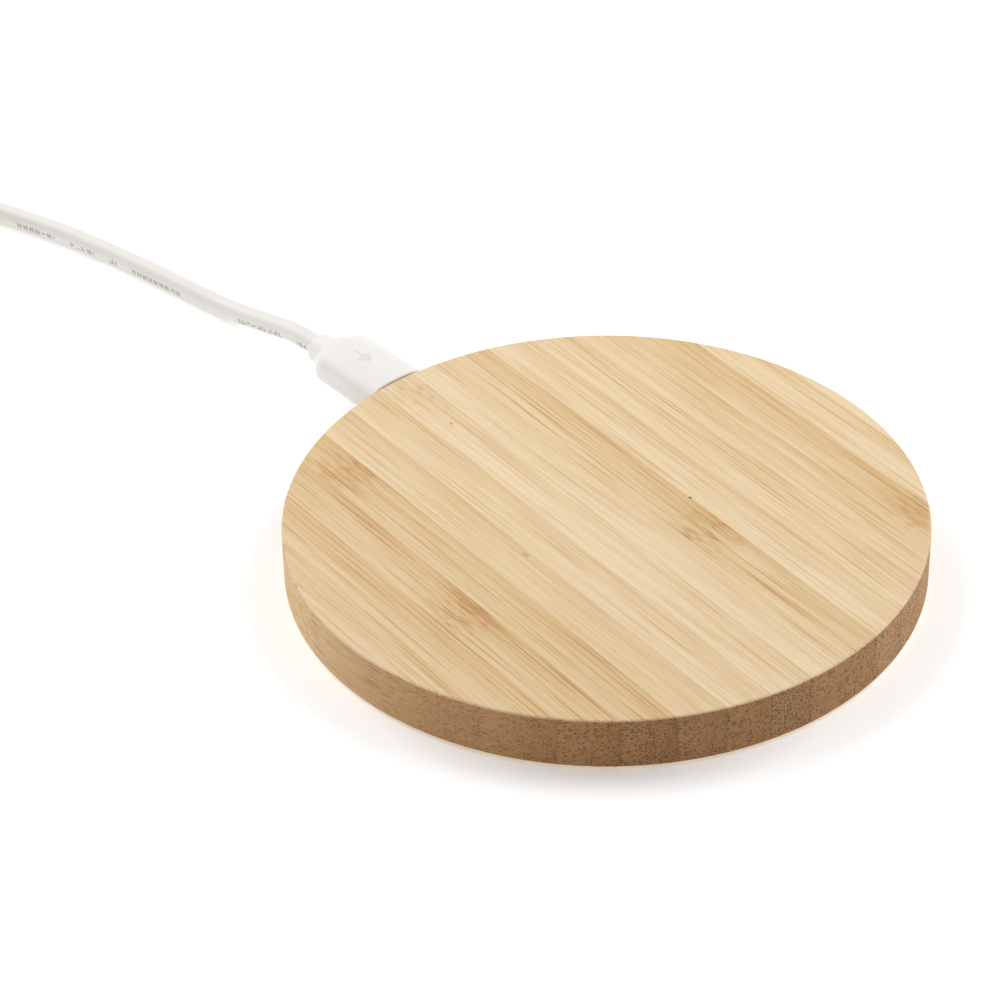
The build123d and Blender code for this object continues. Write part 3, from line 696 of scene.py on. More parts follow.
def supply_grip_rings():
    """Rings from the neck's small end to the flat front of the grip."""
    lip = LIP_ROUND * (1 - np.cos(np.linspace(0, np.pi / 2, 4)))
    neck = np.linspace(LIP_ROUND * 1.6, SUPPLY_RELIEF, 64)
    back = np.linspace(SUPPLY_RELIEF + 0.15 * MM, SUPPLY_RELIEF + 3.2 * MM, 18)
    barrel = np.linspace(SUPPLY_RELIEF + 4.0 * MM, SUPPLY_END - 1.2 * MM, 6)
    front = SUPPLY_END - SUPPLY_ROUND * (1 - np.sin(np.linspace(0, np.pi / 2, 6)))
    y = np.concatenate([lip, neck, back, barrel, front])
    wave = 0.5 - 0.5 * np.cos(2 * np.pi * y / RIB_PITCH)
    ribs = RIB_HEIGHT * wave**0.7 * (y < 4 * RIB_PITCH)
    neck_radius = 2.15 * MM + 1.0 * MM * y / SUPPLY_RELIEF + ribs
    neck_radius = np.where(y > SUPPLY_RELIEF + 3.0 * MM, 0.0, neck_radius)
    gone = np.clip((y - SUPPLY_RELIEF) / (3.0 * MM), 0, 1)
    rise = np.sqrt(1 - (1 - gone) ** 2)
    inset = end_round(SUPPLY_END - y, SUPPLY_ROUND) + end_round(y, LIP_ROUND)
    on_bar = y > SUPPLY_RELIEF
    bar_width = np.maximum(neck_radius, SUPPLY_HALF_WIDTH - 3.0 * MM * (1 - rise))
    bar_height = np.maximum(neck_radius, SUPPLY_HALF_HEIGHT - 1.6 * MM * (1 - rise))
    half_width = np.where(on_bar, bar_width, neck_radius) - inset
    half_height = np.where(on_bar, bar_height, neck_radius) - inset
    power = 2.0 + 2.2 * ease(y, SUPPLY_RELIEF, SUPPLY_RELIEF + 2.5 * MM)
    return carried(loft(y, half_width, half_height, power), supply_frame)


supply_mesh = smooth(skin("supply_grip", supply_grip_rings()), 40)
supply_piece = add_piece("supply_plug_grip", supply_mesh, "cable", "white_moulding", "supply_plug_overmould")

# %% [markdown]
# ## The feet
#
# Each rubber foot is a turned button: flat where it is glued in, a soft lower edge, and a
# shallow ring moulded into its face, which is what stops it sucking onto a smooth table.

# %% Turn the feet
FOOT_ROUND = 0.35 * MM
GROOVE_AT = 0.62
GROOVE_WIDTH = 0.45 * MM
GROOVE_DEPTH = 0.16 * MM
for side in ("front_left", "front_right", "back_left", "back_right"):
    low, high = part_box(f"foot_{side}")
    foot_radius = (high.x - low.x) / 2
    middle_x, middle_y = (low.x + high.x) / 2, (low.y + high.y) / 2
    groove = foot_radius * GROOVE_AT
    face_r = groove + GROOVE_WIDTH * np.array([-1.6, -1, -0.6, 0, 0.6, 1, 1.6])
    face_z = GROOVE_DEPTH * np.array([0, 0.08, 0.7, 1, 0.7, 0.08, 0])
    face = np.stack([face_r, face_z], 1)
    edge = quarter(foot_radius - FOOT_ROUND, FOOT_ROUND, FOOT_ROUND, -90, 0)
    profile = np.concatenate([[(0.05 * MM, 0.0)], face, edge, [(foot_radius, high.z)]])
    rings = turned_rings(profile, 64, middle_x, middle_y)
    add_piece(f"rubber_foot_{side}", smooth(skin("foot", rings), 40), "pad", "rubber_grey", f"foot_{side}")

# %% [markdown]
# ## Hard parts with broken edges
#
# A sheared, stamped or moulded part never has a perfectly sharp edge, and that thin bright
# line along an edge is most of what makes it look real. The small hard parts that can be seen
# are copies of their CAD shapes. The copy's loose triangles are joined, flat triangles are
# merged into whole faces, and a narrow bevel goes along the sharp edges.

# %% Copy the visible hard parts and break their edges


def broken_edges(node, name, width):
    """A copy of a CAD node, welded, with a two-step bevel this wide on its sharp edges. It
    rides on the same body and stands for the node."""
    source = nodes[node]
    mesh = source.data.copy()
    mesh.attributes.remove(mesh.attributes["custom_normal"])
    mesh.materials.clear()
    work = bmesh.new()
    work.from_mesh(mesh)
    bmesh.ops.remove_doubles(work, verts=work.verts, dist=1e-6)
    bmesh.ops.dissolve_limit(work, angle_limit=math.radians(1.0), verts=work.verts, edges=work.edges)
    work.to_mesh(mesh)
    work.free()
    holder = new_object("bevelling", mesh)
    bevel = holder.modifiers.new("bevel", "BEVEL")
    bevel.width = width
    bevel.segments = 2
    bevel.limit_method = "ANGLE"
    bevel.angle_limit = math.radians(40)
    finished = applied(holder)
    bpy.data.objects.remove(holder)
    bpy.data.meshes.remove(mesh)
    body = body_of(source)[0]
    return add_piece(name, smooth(finished, 40), body, source.material_slots[0].material.name, node)


BROKEN_EDGES = {
    "bottom_cover": ("cover_plate", 0.12 * MM),
    "cover_screws": ("cover_screw_set", 0.06 * MM),
    "rating_label": ("blank_label", 0.03 * MM),
    "port_shell": ("port_shell_folded", 0.06 * MM),
    "plug_shell": ("plug_shell_folded", 0.06 * MM),
    "supply_plug_shell": ("supply_shell_folded", 0.07 * MM),
    "supply_plug_insulator": ("supply_tongue", 0.1 * MM),
}
for node, (name, width) in BROKEN_EDGES.items():
    broken_edges(node, name, width)

# %% [markdown]
# ## Writing finishes as formulas
#
# A procedural finish is a formula worked out at each point of a surface. Blender builds it
# from nodes, which are long-winded to write by hand, so one small class wraps a node's output
# and lets Python's own operators add the Math nodes. Another holds a material and adds every
# other kind of node: it sets the node's settings first, then a value or a link for each socket.
# A field's floor is the whole number below it, its exponential is e to its power, its wave is
# its sine, and least and most pick the smaller and the larger of two.

# %% The classes that hold a formula
CHANNELS = ["Red", "Green", "Blue"]


def operator(operation, swapped=False):
    """A method that adds this Math node to a field; swapped puts the field second."""

    def method(self, *others):
        values = (self, *others)
        return self.maths(operation, *(reversed(values) if swapped else values))

    return method


class Field:
    """A number, vector or colour that varies over a surface: one output socket of a node."""

    def __init__(self, finish, socket):
        self.finish = finish
        self.socket = socket

    def maths(self, operation, *values):
        """A Math node with these values in its sockets."""
        return self.finish.node("Math", {"operation": operation}, dict(enumerate(values)))

    __add__ = operator("ADD")
    __radd__ = operator("ADD", swapped=True)
    __sub__ = operator("SUBTRACT")
    __rsub__ = operator("SUBTRACT", swapped=True)
    __mul__ = operator("MULTIPLY")
    __rmul__ = operator("MULTIPLY", swapped=True)
    __truediv__ = operator("DIVIDE")
    __pow__ = operator("POWER")
    __abs__ = operator("ABSOLUTE")
    floor = operator("FLOOR")
    exponential = operator("EXPONENT")
    wave = operator("SINE")
    least = operator("MINIMUM")
    most = operator("MAXIMUM")

    def ramp(self, low, high):
        """0 at low, 1 at high and a smooth step between; low may be above high."""
        settings = {"interpolation_type": "SMOOTHSTEP"}
        return self.finish.node("MapRange", settings, {"Value": self, "From Min": low, "From Max": high})


class Finish:
    """One material, and the ways to add nodes to it."""

    def __init__(self, name):
        self.material = bpy.data.materials.new(name)
        self.material.use_nodes = True
        self.tree = self.material.node_tree
        self.tree.nodes.clear()

    def node(self, kind, settings=None, sockets=None, out=0):
        """Adds a node and returns one of its outputs, by name or number, or a list of them."""
        made = self.tree.nodes.new("ShaderNode" + kind)
        for key, value in (settings or {}).items():
            if key == "stops":
                self.set_stops(made.color_ramp, value)
            elif key == "interpolation":
                made.color_ramp.interpolation = value
            else:
                setattr(made, key, value)
        for key, value in (sockets or {}).items():
            target = made.inputs[key]
            if isinstance(value, Field):
                self.tree.links.new(value.socket, target)
            elif target.type == "RGBA":
                target.default_value = (*value, 1.0)
            else:
                target.default_value = value
        if isinstance(out, list):
            return [Field(self, made.outputs[key]) for key in out]
        return Field(self, made.outputs[out])

    def set_stops(self, ramp, stops):
        """Replaces a ramp's stops with these pairs of place and colour."""
        while len(ramp.elements) > 1:
            ramp.elements.remove(ramp.elements[-1])
        ramp.elements[0].position = stops[0][0]
        for place, colour in stops[1:]:
            ramp.elements.new(place)
        for element, (place, colour) in zip(ramp.elements, stops):
            element.color = (*colour, 1.0) if len(colour) == 3 else colour

    def place(self):
        """Where a point is on its object, in millimetres, as x, y and z."""
        metres = self.node("TexCoord", out="Object")
        scaled = self.node("VectorMath", {"operation": "SCALE"}, {"Vector": metres, "Scale": 1 / MM})
        return self.node("SeparateXYZ", sockets={"Vector": scaled}, out=["X", "Y", "Z"])

    def where(self):
        """The same place as one vector."""
        return self.vector(*self.place())

    def vector(self, x, y, z):
        """Three numbers as one vector."""
        return self.node("CombineXYZ", sockets={"X": x, "Y": y, "Z": z})

    def noise(self, where, scale, detail=2.0, roughness=0.5):
        """Soft noise about 0.5; scale is in waves for each unit of where."""
        sockets = {"Vector": where, "Scale": scale, "Detail": detail, "Roughness": roughness}
        return self.node("TexNoise", {"noise_dimensions": "3D"}, sockets)

    def blend(self, factor, first, second, mode="MIX"):
        """From the first colour to the second as factor goes from 0 to 1."""
        settings = {"data_type": "RGBA", "blend_type": mode}
        return self.node("Mix", settings, {0: factor, 6: first, 7: second}, out=2)

    def bump(self, height, depth, strength=1.0):
        """A normal tilted as if the surface rose by height times depth, in metres."""
        return self.node("Bump", sockets={"Height": height, "Distance": depth, "Strength": strength})

    def surface(self, **sockets):
        """Ends the material in a principled shader; a socket's name is written with underscores."""
        named = {key.replace("_", " "): value for key, value in sockets.items()}
        shader = self.node("BsdfPrincipled", sockets=named)
        output = self.tree.nodes.new("ShaderNodeOutputMaterial")
        self.tree.links.new(shader.socket, output.inputs["Surface"])
        return self.material


print("formula classes ready")

# %% [markdown]
# ## Bamboo
#
# The panel is made of strips about 7 mm wide, split from the wall of the cane and glued side
# by side. Each strip has its own tone and its own grain, so neighbours meet in a crisp line.
# Every strip was taken from the cane's wall, so its fibre bundles crowd together towards one
# side and thin out towards the other, and it is a little darker on the crowded side.
#
# The bundles are long threads that run with the strip. In this formula they are long thin
# cells in three dimensions, so the same cells show as fine streaks on the face and as dark
# dots where the rim cuts across them. Here and there a strip crosses a node, the ring where
# the cane had a joint: the colour darkens in a short mottled patch and the threads waver.
#
# The rim is browner than the face, because light sinks into the cut ends of the threads, and the
# sides, cut along the threads, stay paler. Its tint changes slowly round the disc, and that change
# is painted light and shade: lighter where the rim turns away from the camera into the soft
# boxes' light, darker where it faces the camera.

# %% Describe the strips
STRIP_WIDTH = 7.0
STRIP_SHIFT = 1.0
STRIP_TURN = math.radians(4.0)
FIRST_STRIP = -8
# for each strip from the left: tone from 0, dark, to 1, pale; streaks; node's strength and place
STRIPS = [
    (0.70, 0.50, 0.0, 0.0),
    (0.67, 0.75, 0.0, 0.0),
    (0.54, 0.60, 0.0, 0.0),
    (0.52, 0.80, 0.80, -6.6),
    (0.53, 0.60, 0.65, 33.9),
    (0.66, 0.20, 0.0, 0.0),
    (0.73, 0.45, 0.0, 0.0),
    (0.83, 0.70, 0.55, 44.0),
    (0.79, 0.30, 0.0, 0.0),
    (0.60, 0.65, 0.80, -13.0),
    (0.77, 0.45, 0.0, 0.0),
    (0.73, 0.80, 0.0, 0.0),
    (0.67, 0.55, 0.0, 0.0),
    (0.52, 0.35, 0.60, -29.0),
    (0.75, 0.60, 0.0, 0.0),
    (0.77, 0.50, 0.0, 0.0),
]
print("strips", len(STRIPS))

# %% Write the bamboo formula
HALF_SPAN = 50.0
THREAD = 0.43
THREAD_LENGTH = 26.0
NODE_REACH = 5.0
FACE_COLOURS = [
    (0.0, (0.55, 0.30, 0.120)),
    (0.25, (0.67, 0.435, 0.20)),
    (0.55, (0.745, 0.545, 0.305)),
    (0.85, (0.82, 0.635, 0.40)),
    (1.0, (0.85, 0.68, 0.46)),
]
NODE_BROWN = (0.38, 0.20, 0.10)
PORE_BROWN = (0.13, 0.062, 0.032)
FLECK_BROWN = (0.30, 0.14, 0.06)
SPECK_BROWN = (0.07, 0.045, 0.03)
# the end grain's own browner colour, shaded and lit: the paler copy is painted light where the rim turns
# away from the camera on the right
END_GRAIN_SHADED_AND_LIT = ((0.480, 0.330, 0.206), (0.625, 0.465, 0.318))
# lit and shaded copies of the side grain's colour: painted light where the rim turns away from the camera,
# painted shade where it faces it
SIDE_GRAIN_LIT_AND_SHADED = ((0.89, 0.81, 0.64), (0.63, 0.46, 0.325))
# for each speck: place across and along the strips, radius and depth of colour
SPECKS = [(13.0, -4.7, 0.30, 0.75), (-16.0, -0.7, 0.60, 0.25), (-4.4, 34.4, 0.35, 0.35)]


def strip_facts(wood, strip):
    """Looks up each strip's tone, streaks, node place and node strength in one stepped ramp."""
    steps = len(STRIPS)
    stops = []
    for k, (tone, streaks, strength, place) in enumerate(STRIPS):
        stops.append((k / steps, (tone, streaks, place / (2 * HALF_SPAN) + 0.5, strength)))
    at = (strip - FIRST_STRIP + 0.5) / steps
    settings = {"stops": stops, "interpolation": "CONSTANT"}
    colour, strength = wood.node("ValToRGB", settings, {"Fac": at}, out=["Color", "Alpha"])
    tone, streaks, place = wood.node("SeparateColor", sockets={"Color": colour}, out=CHANNELS)
    return tone, streaks, (place - 0.5) * (2 * HALF_SPAN), strength


def bamboo():
    """The disc's finish. u runs across the strips, v along them and z up, in millimetres."""
    wood = Finish("bamboo_strips")
    metres = wood.node("TexCoord", out="Object")
    turned = wood.node(
        "Mapping",
        {"vector_type": "POINT"},
        {"Vector": metres, "Rotation": (0, 0, STRIP_TURN), "Scale": (1 / MM,) * 3},
    )
    u, v, z = wood.node("SeparateXYZ", sockets={"Vector": turned}, out=["X", "Y", "Z"])
    strips = (u + STRIP_SHIFT) / STRIP_WIDTH
    strip = strips.floor()
    across = strips - strip
    tone, streaks, node_v, node_strength = strip_facts(wood, strip)

    # the joint of the cane: a patch that fades out along the strip, and threads that waver there
    from_node = (v - node_v) / NODE_REACH
    patch = node_strength * (from_node * from_node * -1.0).exponential()
    waver = wood.noise(wood.vector(u * 0.35, v * 0.16, z * 0.3), 1.0, 1.0) - 0.5
    drift = wood.noise(wood.vector(strip * 3.1, v * 0.03, z * 0.03), 1.0, 1.0) - 0.5
    moved = across + (waver * 0.9 * patch + drift * 0.35) / STRIP_WIDTH

    # thread bundles: long cells, finer and closer towards the crowded side
    crowded = moved.most(0.001) ** 1.25
    cell_u = (strip * 1.37 + crowded) * (STRIP_WIDTH / THREAD)
    cell_v = v / THREAD_LENGTH + strip * 4.7
    cells = wood.vector(cell_u, cell_v, z / THREAD)
    distance, chance = wood.node(
        "TexVoronoi",
        {"voronoi_dimensions": "3D", "feature": "F1"},
        {"Vector": cells, "Scale": 1.0, "Randomness": 0.85},
        out=["Distance", "Color"],
    )
    luck = wood.node("SeparateColor", sockets={"Color": chance}, out="Red")
    thread = distance.ramp(0.52, 0.14) * (0.35 + luck * 0.65)

    # the softer figure: broad bands, fine lines and short broken strokes
    band = wood.noise(wood.vector(u * 0.55, v * 0.022, z * 0.5), 1.0, 2.0)
    line = wood.noise(wood.vector(u * 3.8, v * 0.055, z * 3.8), 1.0, 3.0, 0.65)
    stroke = wood.noise(wood.vector(u * 1.5, v * 0.30, z * 1.5), 1.0, 2.0)

    # how squarely the surface cuts across the threads: 0 on the face, 1 on pure end grain
    normal = wood.node("TexCoord", out="Normal")
    along = (math.sin(STRIP_TURN), math.cos(STRIP_TURN), 0.0)
    square_on = wood.node("VectorMath", {"operation": "DOT_PRODUCT"}, {0: normal, 1: along}, out="Value")
    end_grain = (square_on * square_on).ramp(0.0, 0.8)
    sideways = 1.0 - abs(wood.node("SeparateXYZ", sockets={"Vector": normal}, out="Z"))

    light = tone - (across - 0.5) * 0.26 + (band - 0.5) * 0.40 + (line - 0.5) * 1.25
    light = light - thread * (0.19 + 0.42 * streaks) - patch * (0.16 + stroke.ramp(0.36, 0.72) * 0.42)
    face = wood.node("ValToRGB", {"stops": FACE_COLOURS}, {"Fac": light})
    knot = wood.blend(patch * stroke.ramp(0.44, 0.74) * 0.32, face, NODE_BROWN)
    dots = distance.ramp(0.52, 0.28) * (0.30 + luck * 0.70)
    seam = (abs(across - 0.5)).ramp(0.44, 0.5)
    mottle = wood.noise(wood.vector(u * 0.9, v * 0.1, z * 0.9), 1.0, 3.0)
    # painted light: the end grain is painted paler towards +u, the right of the rim, where it turns away
    # from the camera
    end_colour_and_painted_light = wood.blend(u.ramp(-10.0, 30.0), *END_GRAIN_SHADED_AND_LIT)
    ends = wood.blend(1.0, knot, end_colour_and_painted_light, "MULTIPLY")
    dark = dots * (0.74 + streaks * 0.46) + seam * 0.20 + mottle.ramp(0.40, 0.72) * 0.20
    ends = wood.blend(dark, ends, PORE_BROWN)
    # painted light and shade: the side grain is painted paler towards +v, where the rim turns away from the
    # camera, and darker towards -v, where it faces it
    side_colour_and_painted_light = wood.blend(v.ramp(25.0, -20.0), *SIDE_GRAIN_LIT_AND_SHADED)
    side = wood.blend(1.0, knot, side_colour_and_painted_light, "MULTIPLY")
    side = wood.blend(dots * mottle.ramp(0.36, 0.60) * 0.60, side, FLECK_BROWN)
    rim = wood.blend(sideways.ramp(0.3, 0.9), knot, side)
    colour = wood.blend(end_grain * sideways.ramp(0.3, 0.9), rim, ends)
    for speck_u, speck_v, size, depth in SPECKS:
        off_u = u - speck_u
        off_v = (v - speck_v) * 0.6
        away = (off_u * off_u + off_v * off_v) ** 0.5
        spot = away.ramp(size, size * 0.4) * depth * z.ramp(8.5, 9.0)
        colour = wood.blend(spot, colour, SPECK_BROWN)
    relief = line * 0.5 - thread * 0.8 - seam * 0.25
    return wood.surface(
        Base_Color=colour,
        Roughness=0.50 + (line - 0.5) * 0.25 + end_grain * 0.18,
        Normal=wood.bump(relief, 0.03 * MM, 0.6),
        Specular_IOR_Level=0.35,
    )


print("bamboo formula written")

# %% [markdown]
# ## Soft white mouldings
#
# The plug grips and the cord's jacket are soft white elastomer. It isn't quite white, and a
# moulding's surface is never quite even: it has a very fine grain from the spark-worked
# mould, shallow flow marks, and a slightly different gloss from place to place. On top of
# the smaller grip is a small pressed-in arrow that shows which way the plug goes.

# %% Write the white mouldings
WHITE = (0.875, 0.85, 0.815)
ARROW_Y = 59.5


def white_moulding():
    """Satin elastomer with fine grain, and a small pressed arrow, greyed with painted shade, that points at
    the port.
    """
    soft = Finish("soft_white_moulding")
    x, y, z = soft.place()
    grain = soft.noise(soft.vector(x, y, z), 9.0, 3.0)
    flow = soft.noise(soft.vector(x * 0.25, y * 0.12, z * 0.25), 1.0, 2.0)
    side = abs(x)
    shaft = side.ramp(0.30, 0.20) * abs(y - ARROW_Y - 0.9).ramp(1.25, 1.10)
    head_edge = y - (ARROW_Y - 2.0) - side * 1.3
    head = head_edge.ramp(-0.06, 0.06) * (y - ARROW_Y).ramp(0.06, -0.06)
    arrow = shaft.most(head) * z.ramp(6.5, 7.0) * (y - 68.0).ramp(0.5, -0.5)
    tint = soft.blend(flow.ramp(0.3, 0.7) * 0.5, WHITE, (0.855, 0.825, 0.785))
    # the pressed arrow is greyed: painted shade in its shallow recess
    colour = soft.blend(arrow * 0.28, tint, (0.52, 0.50, 0.48))
    return soft.surface(
        Base_Color=colour,
        Roughness=0.44 + (grain - 0.5) * 0.10 + (flow - 0.5) * 0.08,
        Normal=soft.bump(grain * 0.25 - arrow * 1.0, 0.04 * MM, 0.5),
        Specular_IOR_Level=0.4,
    )


# %% [markdown]
# The jacket carries faint grey marks that repeat along it: groups of short ticks and bars,
# pressed on by a printing wheel and worn in places. They are only marks, with no letters.
# They need a pattern that follows the cord, so this finish reads the jacket's own UV map,
# in millimetres along and shares of a turn round.

# %% Write the jacket
MARK_REPEAT = 96.0
MARK_GROUPS = [(1.7, 4.3), (8.6, 19.3), (33.8, 45.5), (49.3, 50.9), (54.8, 60.5), (64.1, 72.6)]
MARK_SIDE = 0.282
MARK_HALF_TURN = 0.056
MARK_PITCH = 1.35


def white_jacket():
    """Smooth jacket with repeated groups of worn grey marks low on its left side."""
    jacket = Finish("white_jacket_printed")
    uv = jacket.node("UVMap", {"uv_map": "along"})
    along, turn, _ = jacket.node("SeparateXYZ", sockets={"Vector": uv}, out=["X", "Y", "Z"])
    period = along / MARK_REPEAT
    local = (period - period.floor()) * MARK_REPEAT
    group = 0.0
    for start, end in MARK_GROUPS:
        inside = local.ramp(start - 0.05, start + 0.05) * local.ramp(end + 0.05, end - 0.05)
        group = inside + group
    count = along / MARK_PITCH
    cell = count.floor()
    in_cell = count - cell
    pick = jacket.node("TexWhiteNoise", {"noise_dimensions": "1D"}, {"W": cell}, out="Color")
    first, second, third = jacket.node("SeparateColor", sockets={"Color": pick}, out=CHANNELS)
    height = (turn - MARK_SIDE) / MARK_HALF_TURN
    within = abs(height).ramp(1.0, 0.82)
    post = abs(in_cell - 0.22).ramp(0.19, 0.12)
    bar_at = (first - 0.5) * 1.3
    bar = abs(height - bar_at).ramp(0.38, 0.26) * abs(in_cell - 0.48).ramp(0.34, 0.28)
    second_post = abs(in_cell - 0.66).ramp(0.17, 0.11) * second.ramp(0.30, 0.35)
    shape = bar.most(post * third.ramp(0.10, 0.15)).most(second_post)
    where = jacket.where()
    grain = jacket.noise(where, 6.0, 3.0)
    wear = jacket.noise(where, 2.2, 2.0).ramp(0.24, 0.44)
    ink = shape * within * group * wear
    cloud = jacket.noise(where, 0.12, 2.0)
    tint = jacket.blend(cloud.ramp(0.35, 0.65) * 0.6, (0.84, 0.81, 0.765), (0.82, 0.785, 0.735))
    return jacket.surface(
        Base_Color=jacket.blend(ink * 0.74, tint, (0.33, 0.30, 0.27)),
        Roughness=0.38 + (grain - 0.5) * 0.12 + ink * 0.12,
        Normal=jacket.bump(grain, 0.012 * MM, 0.5),
        Specular_IOR_Level=0.42,
    )


# %% [markdown]
# ## Plain moulded and sheet materials
#
# The remaining plastics differ in colour, gloss and texture, so one function writes them. It
# mixes two close colours in soft clouds, roughens the gloss with a fine grain and raises the
# same grain a few hundredths of a millimetre.

# %% Write the plastics, rubber and film


def textured(name, colour, second, roughness, grain_scale, relief, coat=0.0):
    """Two close colours in clouds, with a fine grain in the gloss and in the surface."""
    made = Finish(name)
    where = made.where()
    grain = made.noise(where, grain_scale, 3.0, 0.6)
    cloud = made.noise(where, 0.22, 3.0)
    return made.surface(
        Base_Color=made.blend(cloud.ramp(0.3, 0.7), colour, second),
        Roughness=roughness + (grain - 0.5) * 0.18 + (cloud - 0.5) * 0.08,
        Normal=made.bump(grain, relief, 0.6),
        Coat_Weight=coat,
        Coat_Roughness=0.25,
    )


def cover_plastic():
    """White plastic from a spark-eroded mould: an even, fine, rounded grain."""
    cover = Finish("cover_plastic_grained")
    where = cover.where()
    smooth_cells = {"feature": "SMOOTH_F1"}
    pits = cover.node("TexVoronoi", smooth_cells, {"Vector": where, "Scale": 2.6}, out="Distance")
    fine = cover.noise(where, 7.0, 3.0)
    cloud = cover.noise(where, 0.09, 2.0)
    return cover.surface(
        Base_Color=cover.blend(cloud.ramp(0.3, 0.7), (0.80, 0.785, 0.75), (0.765, 0.75, 0.71)),
        Roughness=0.58 + (fine - 0.5) * 0.2,
        Normal=cover.bump(pits + fine * 0.4, 0.05 * MM, 0.7),
    )


def label_film():
    """Satin silver film with a thin printed frame and rows of plain bars."""
    label = Finish("label_film_ruled")
    x, y, z = label.place()
    inside = (17.0 - abs(x)).least(8.0 - abs(y))
    frame_line = abs(inside - 0.9).ramp(0.14, 0.08)
    rows = y / 2.1
    in_row = rows - rows.floor()
    reach = label.node("TexWhiteNoise", {"noise_dimensions": "1D"}, {"W": rows.floor()}, out="Value") * 9.0
    bars = abs(in_row - 0.5).ramp(0.20, 0.14) * (x + 13.0).ramp(0.0, 0.1) * (x - reach).ramp(0.1, 0.0)
    bars = bars * abs(y).ramp(5.4, 5.3)
    grain = label.noise(label.vector(x * 0.6, y * 8.0, z), 1.0, 2.0)
    ink = (frame_line + bars * 0.55).least(1.0)
    return label.surface(
        Base_Color=label.blend(ink, (0.72, 0.72, 0.715), (0.26, 0.26, 0.27)),
        Metallic=0.35 - ink * 0.3,
        Roughness=0.38 + (grain - 0.5) * 0.16 + ink * 0.1,
        Normal=label.bump(grain, 0.006 * MM, 0.5),
    )


# %% [markdown]
# ## Metals
#
# Metals show their working. Folded shells are rolled and plated, so fine lines run along
# them; screws are turned and tumbled, which leaves an even, slightly cloudy gloss; the coil's
# strands lie side by side under enamel.

# %% Write the metals


def rolled_metal(name, colour, roughness, stretch):
    """Plated sheet: fine lines stretched along one axis, and a cloudy gloss."""
    metal = Finish(name)
    x, y, z = metal.place()
    lines = metal.noise(metal.vector(x * stretch[0], y * stretch[1], z * stretch[2]), 1.0, 3.0, 0.6)
    cloud = metal.noise(metal.vector(x, y, z), 0.5, 2.0)
    dull = metal.blend(cloud.ramp(0.35, 0.75) * 0.5, colour, tuple(0.86 * c for c in colour))
    return metal.surface(
        Base_Color=dull,
        Metallic=1.0,
        Roughness=roughness + (lines - 0.5) * 0.22 + (cloud - 0.5) * 0.12,
        Normal=metal.bump(lines, 0.006 * MM, 0.5),
    )


def coil_copper():
    """Stranded, enamelled copper: ridges that follow each turn round the coil, with painted shade between
    them and painted highlight on them.
    """
    copper = Finish("coil_copper_strands")
    x, y, z = copper.place()
    radius = (x * x + y * y) ** 0.5
    strand = (radius * 21.0).wave() * 0.5 + 0.5
    turn = y.maths("ARCTAN2", y, x)
    twist = (turn * 220.0 + radius * 6.0).wave() * 0.5 + 0.5
    tone = copper.noise(copper.vector(x, y, z), 0.9, 2.0)
    return copper.surface(
        # colour: darker in the grooves and lighter on the crests of the strands, which is painted shade and
        # highlight, mixed with a random tone
        Base_Color=copper.blend(strand * 0.6 + tone * 0.4, (0.50, 0.21, 0.085), (0.72, 0.37, 0.17)),
        Metallic=0.9,
        Roughness=0.34 + (twist - 0.5) * 0.1,
        Normal=copper.bump(strand * 0.6 + twist * 0.4, 0.05 * MM, 0.8),
        Coat_Weight=0.5,
        Coat_Roughness=0.15,
    )


# %% [markdown]
# ## Electronics inside
#
# They are hidden when the cover is on, but the pad can be taken apart. The board is green
# solder mask over copper tracks, and the parts have the look of their kind: dark moulded
# chips with a frosted top, and tan ceramic blocks with tinned ends.

# %% Write the board and its parts


def board_green():
    """Solder mask over a maze of tracks: a grid in which each cell picks a direction."""
    board = Finish("board_green_tracks")
    x, y, z = board.place()
    cell_x, cell_y = (x / 1.6).floor(), (y / 1.6).floor()
    cell = board.vector(cell_x, cell_y, 0.0)
    pick = board.node("TexWhiteNoise", {"noise_dimensions": "2D"}, {"Vector": cell}, out="Value")
    in_x, in_y = x / 1.6 - cell_x, y / 1.6 - cell_y
    one = abs(in_x - 0.5).ramp(0.2, 0.14)
    two = abs(in_y - 0.5).ramp(0.2, 0.14)
    choose = pick.ramp(0.49, 0.51)
    track = one * choose + two * (1.0 - choose)
    weave = (x * 9.0).wave() * (y * 9.0).wave()
    return board.surface(
        Base_Color=board.blend(track * 0.6, (0.018, 0.12, 0.050), (0.045, 0.25, 0.10)),
        Roughness=0.30 + weave * 0.05,
        Normal=board.bump(track + weave * 0.15, 0.03 * MM, 0.7),
        Coat_Weight=0.6,
        Coat_Roughness=0.12,
    )


def clear_plastic():
    """Milky clear rod: it passes and scatters light."""
    clear = Finish("light_pipe_clear")
    haze = clear.noise(clear.where(), 2.0, 3.0)
    return clear.surface(
        Base_Color=clear.blend(haze, (0.88, 0.91, 0.92), (0.95, 0.96, 0.96)),
        Roughness=0.16 + haze * 0.2,
        Transmission_Weight=0.6,
        IOR=1.49,
    )


def strap_cloth():
    """Brushed loop cloth: a knit of short fibres, soft and dull."""
    cloth = Finish("strap_cloth_brushed")
    where = cloth.where()
    fibre = cloth.noise(where, 5.5, 4.0, 0.7)
    loops = cloth.node("TexVoronoi", {"feature": "F1"}, {"Vector": where, "Scale": 2.4}, out="Distance")
    return cloth.surface(
        Base_Color=cloth.blend(fibre.ramp(0.3, 0.7), (0.22, 0.22, 0.225), (0.40, 0.40, 0.41)),
        Roughness=0.92 - fibre * 0.1,
        Normal=cloth.bump(fibre + loops, 0.18 * MM, 0.8),
        Sheen_Weight=0.4,
        Sheen_Roughness=0.5,
    )


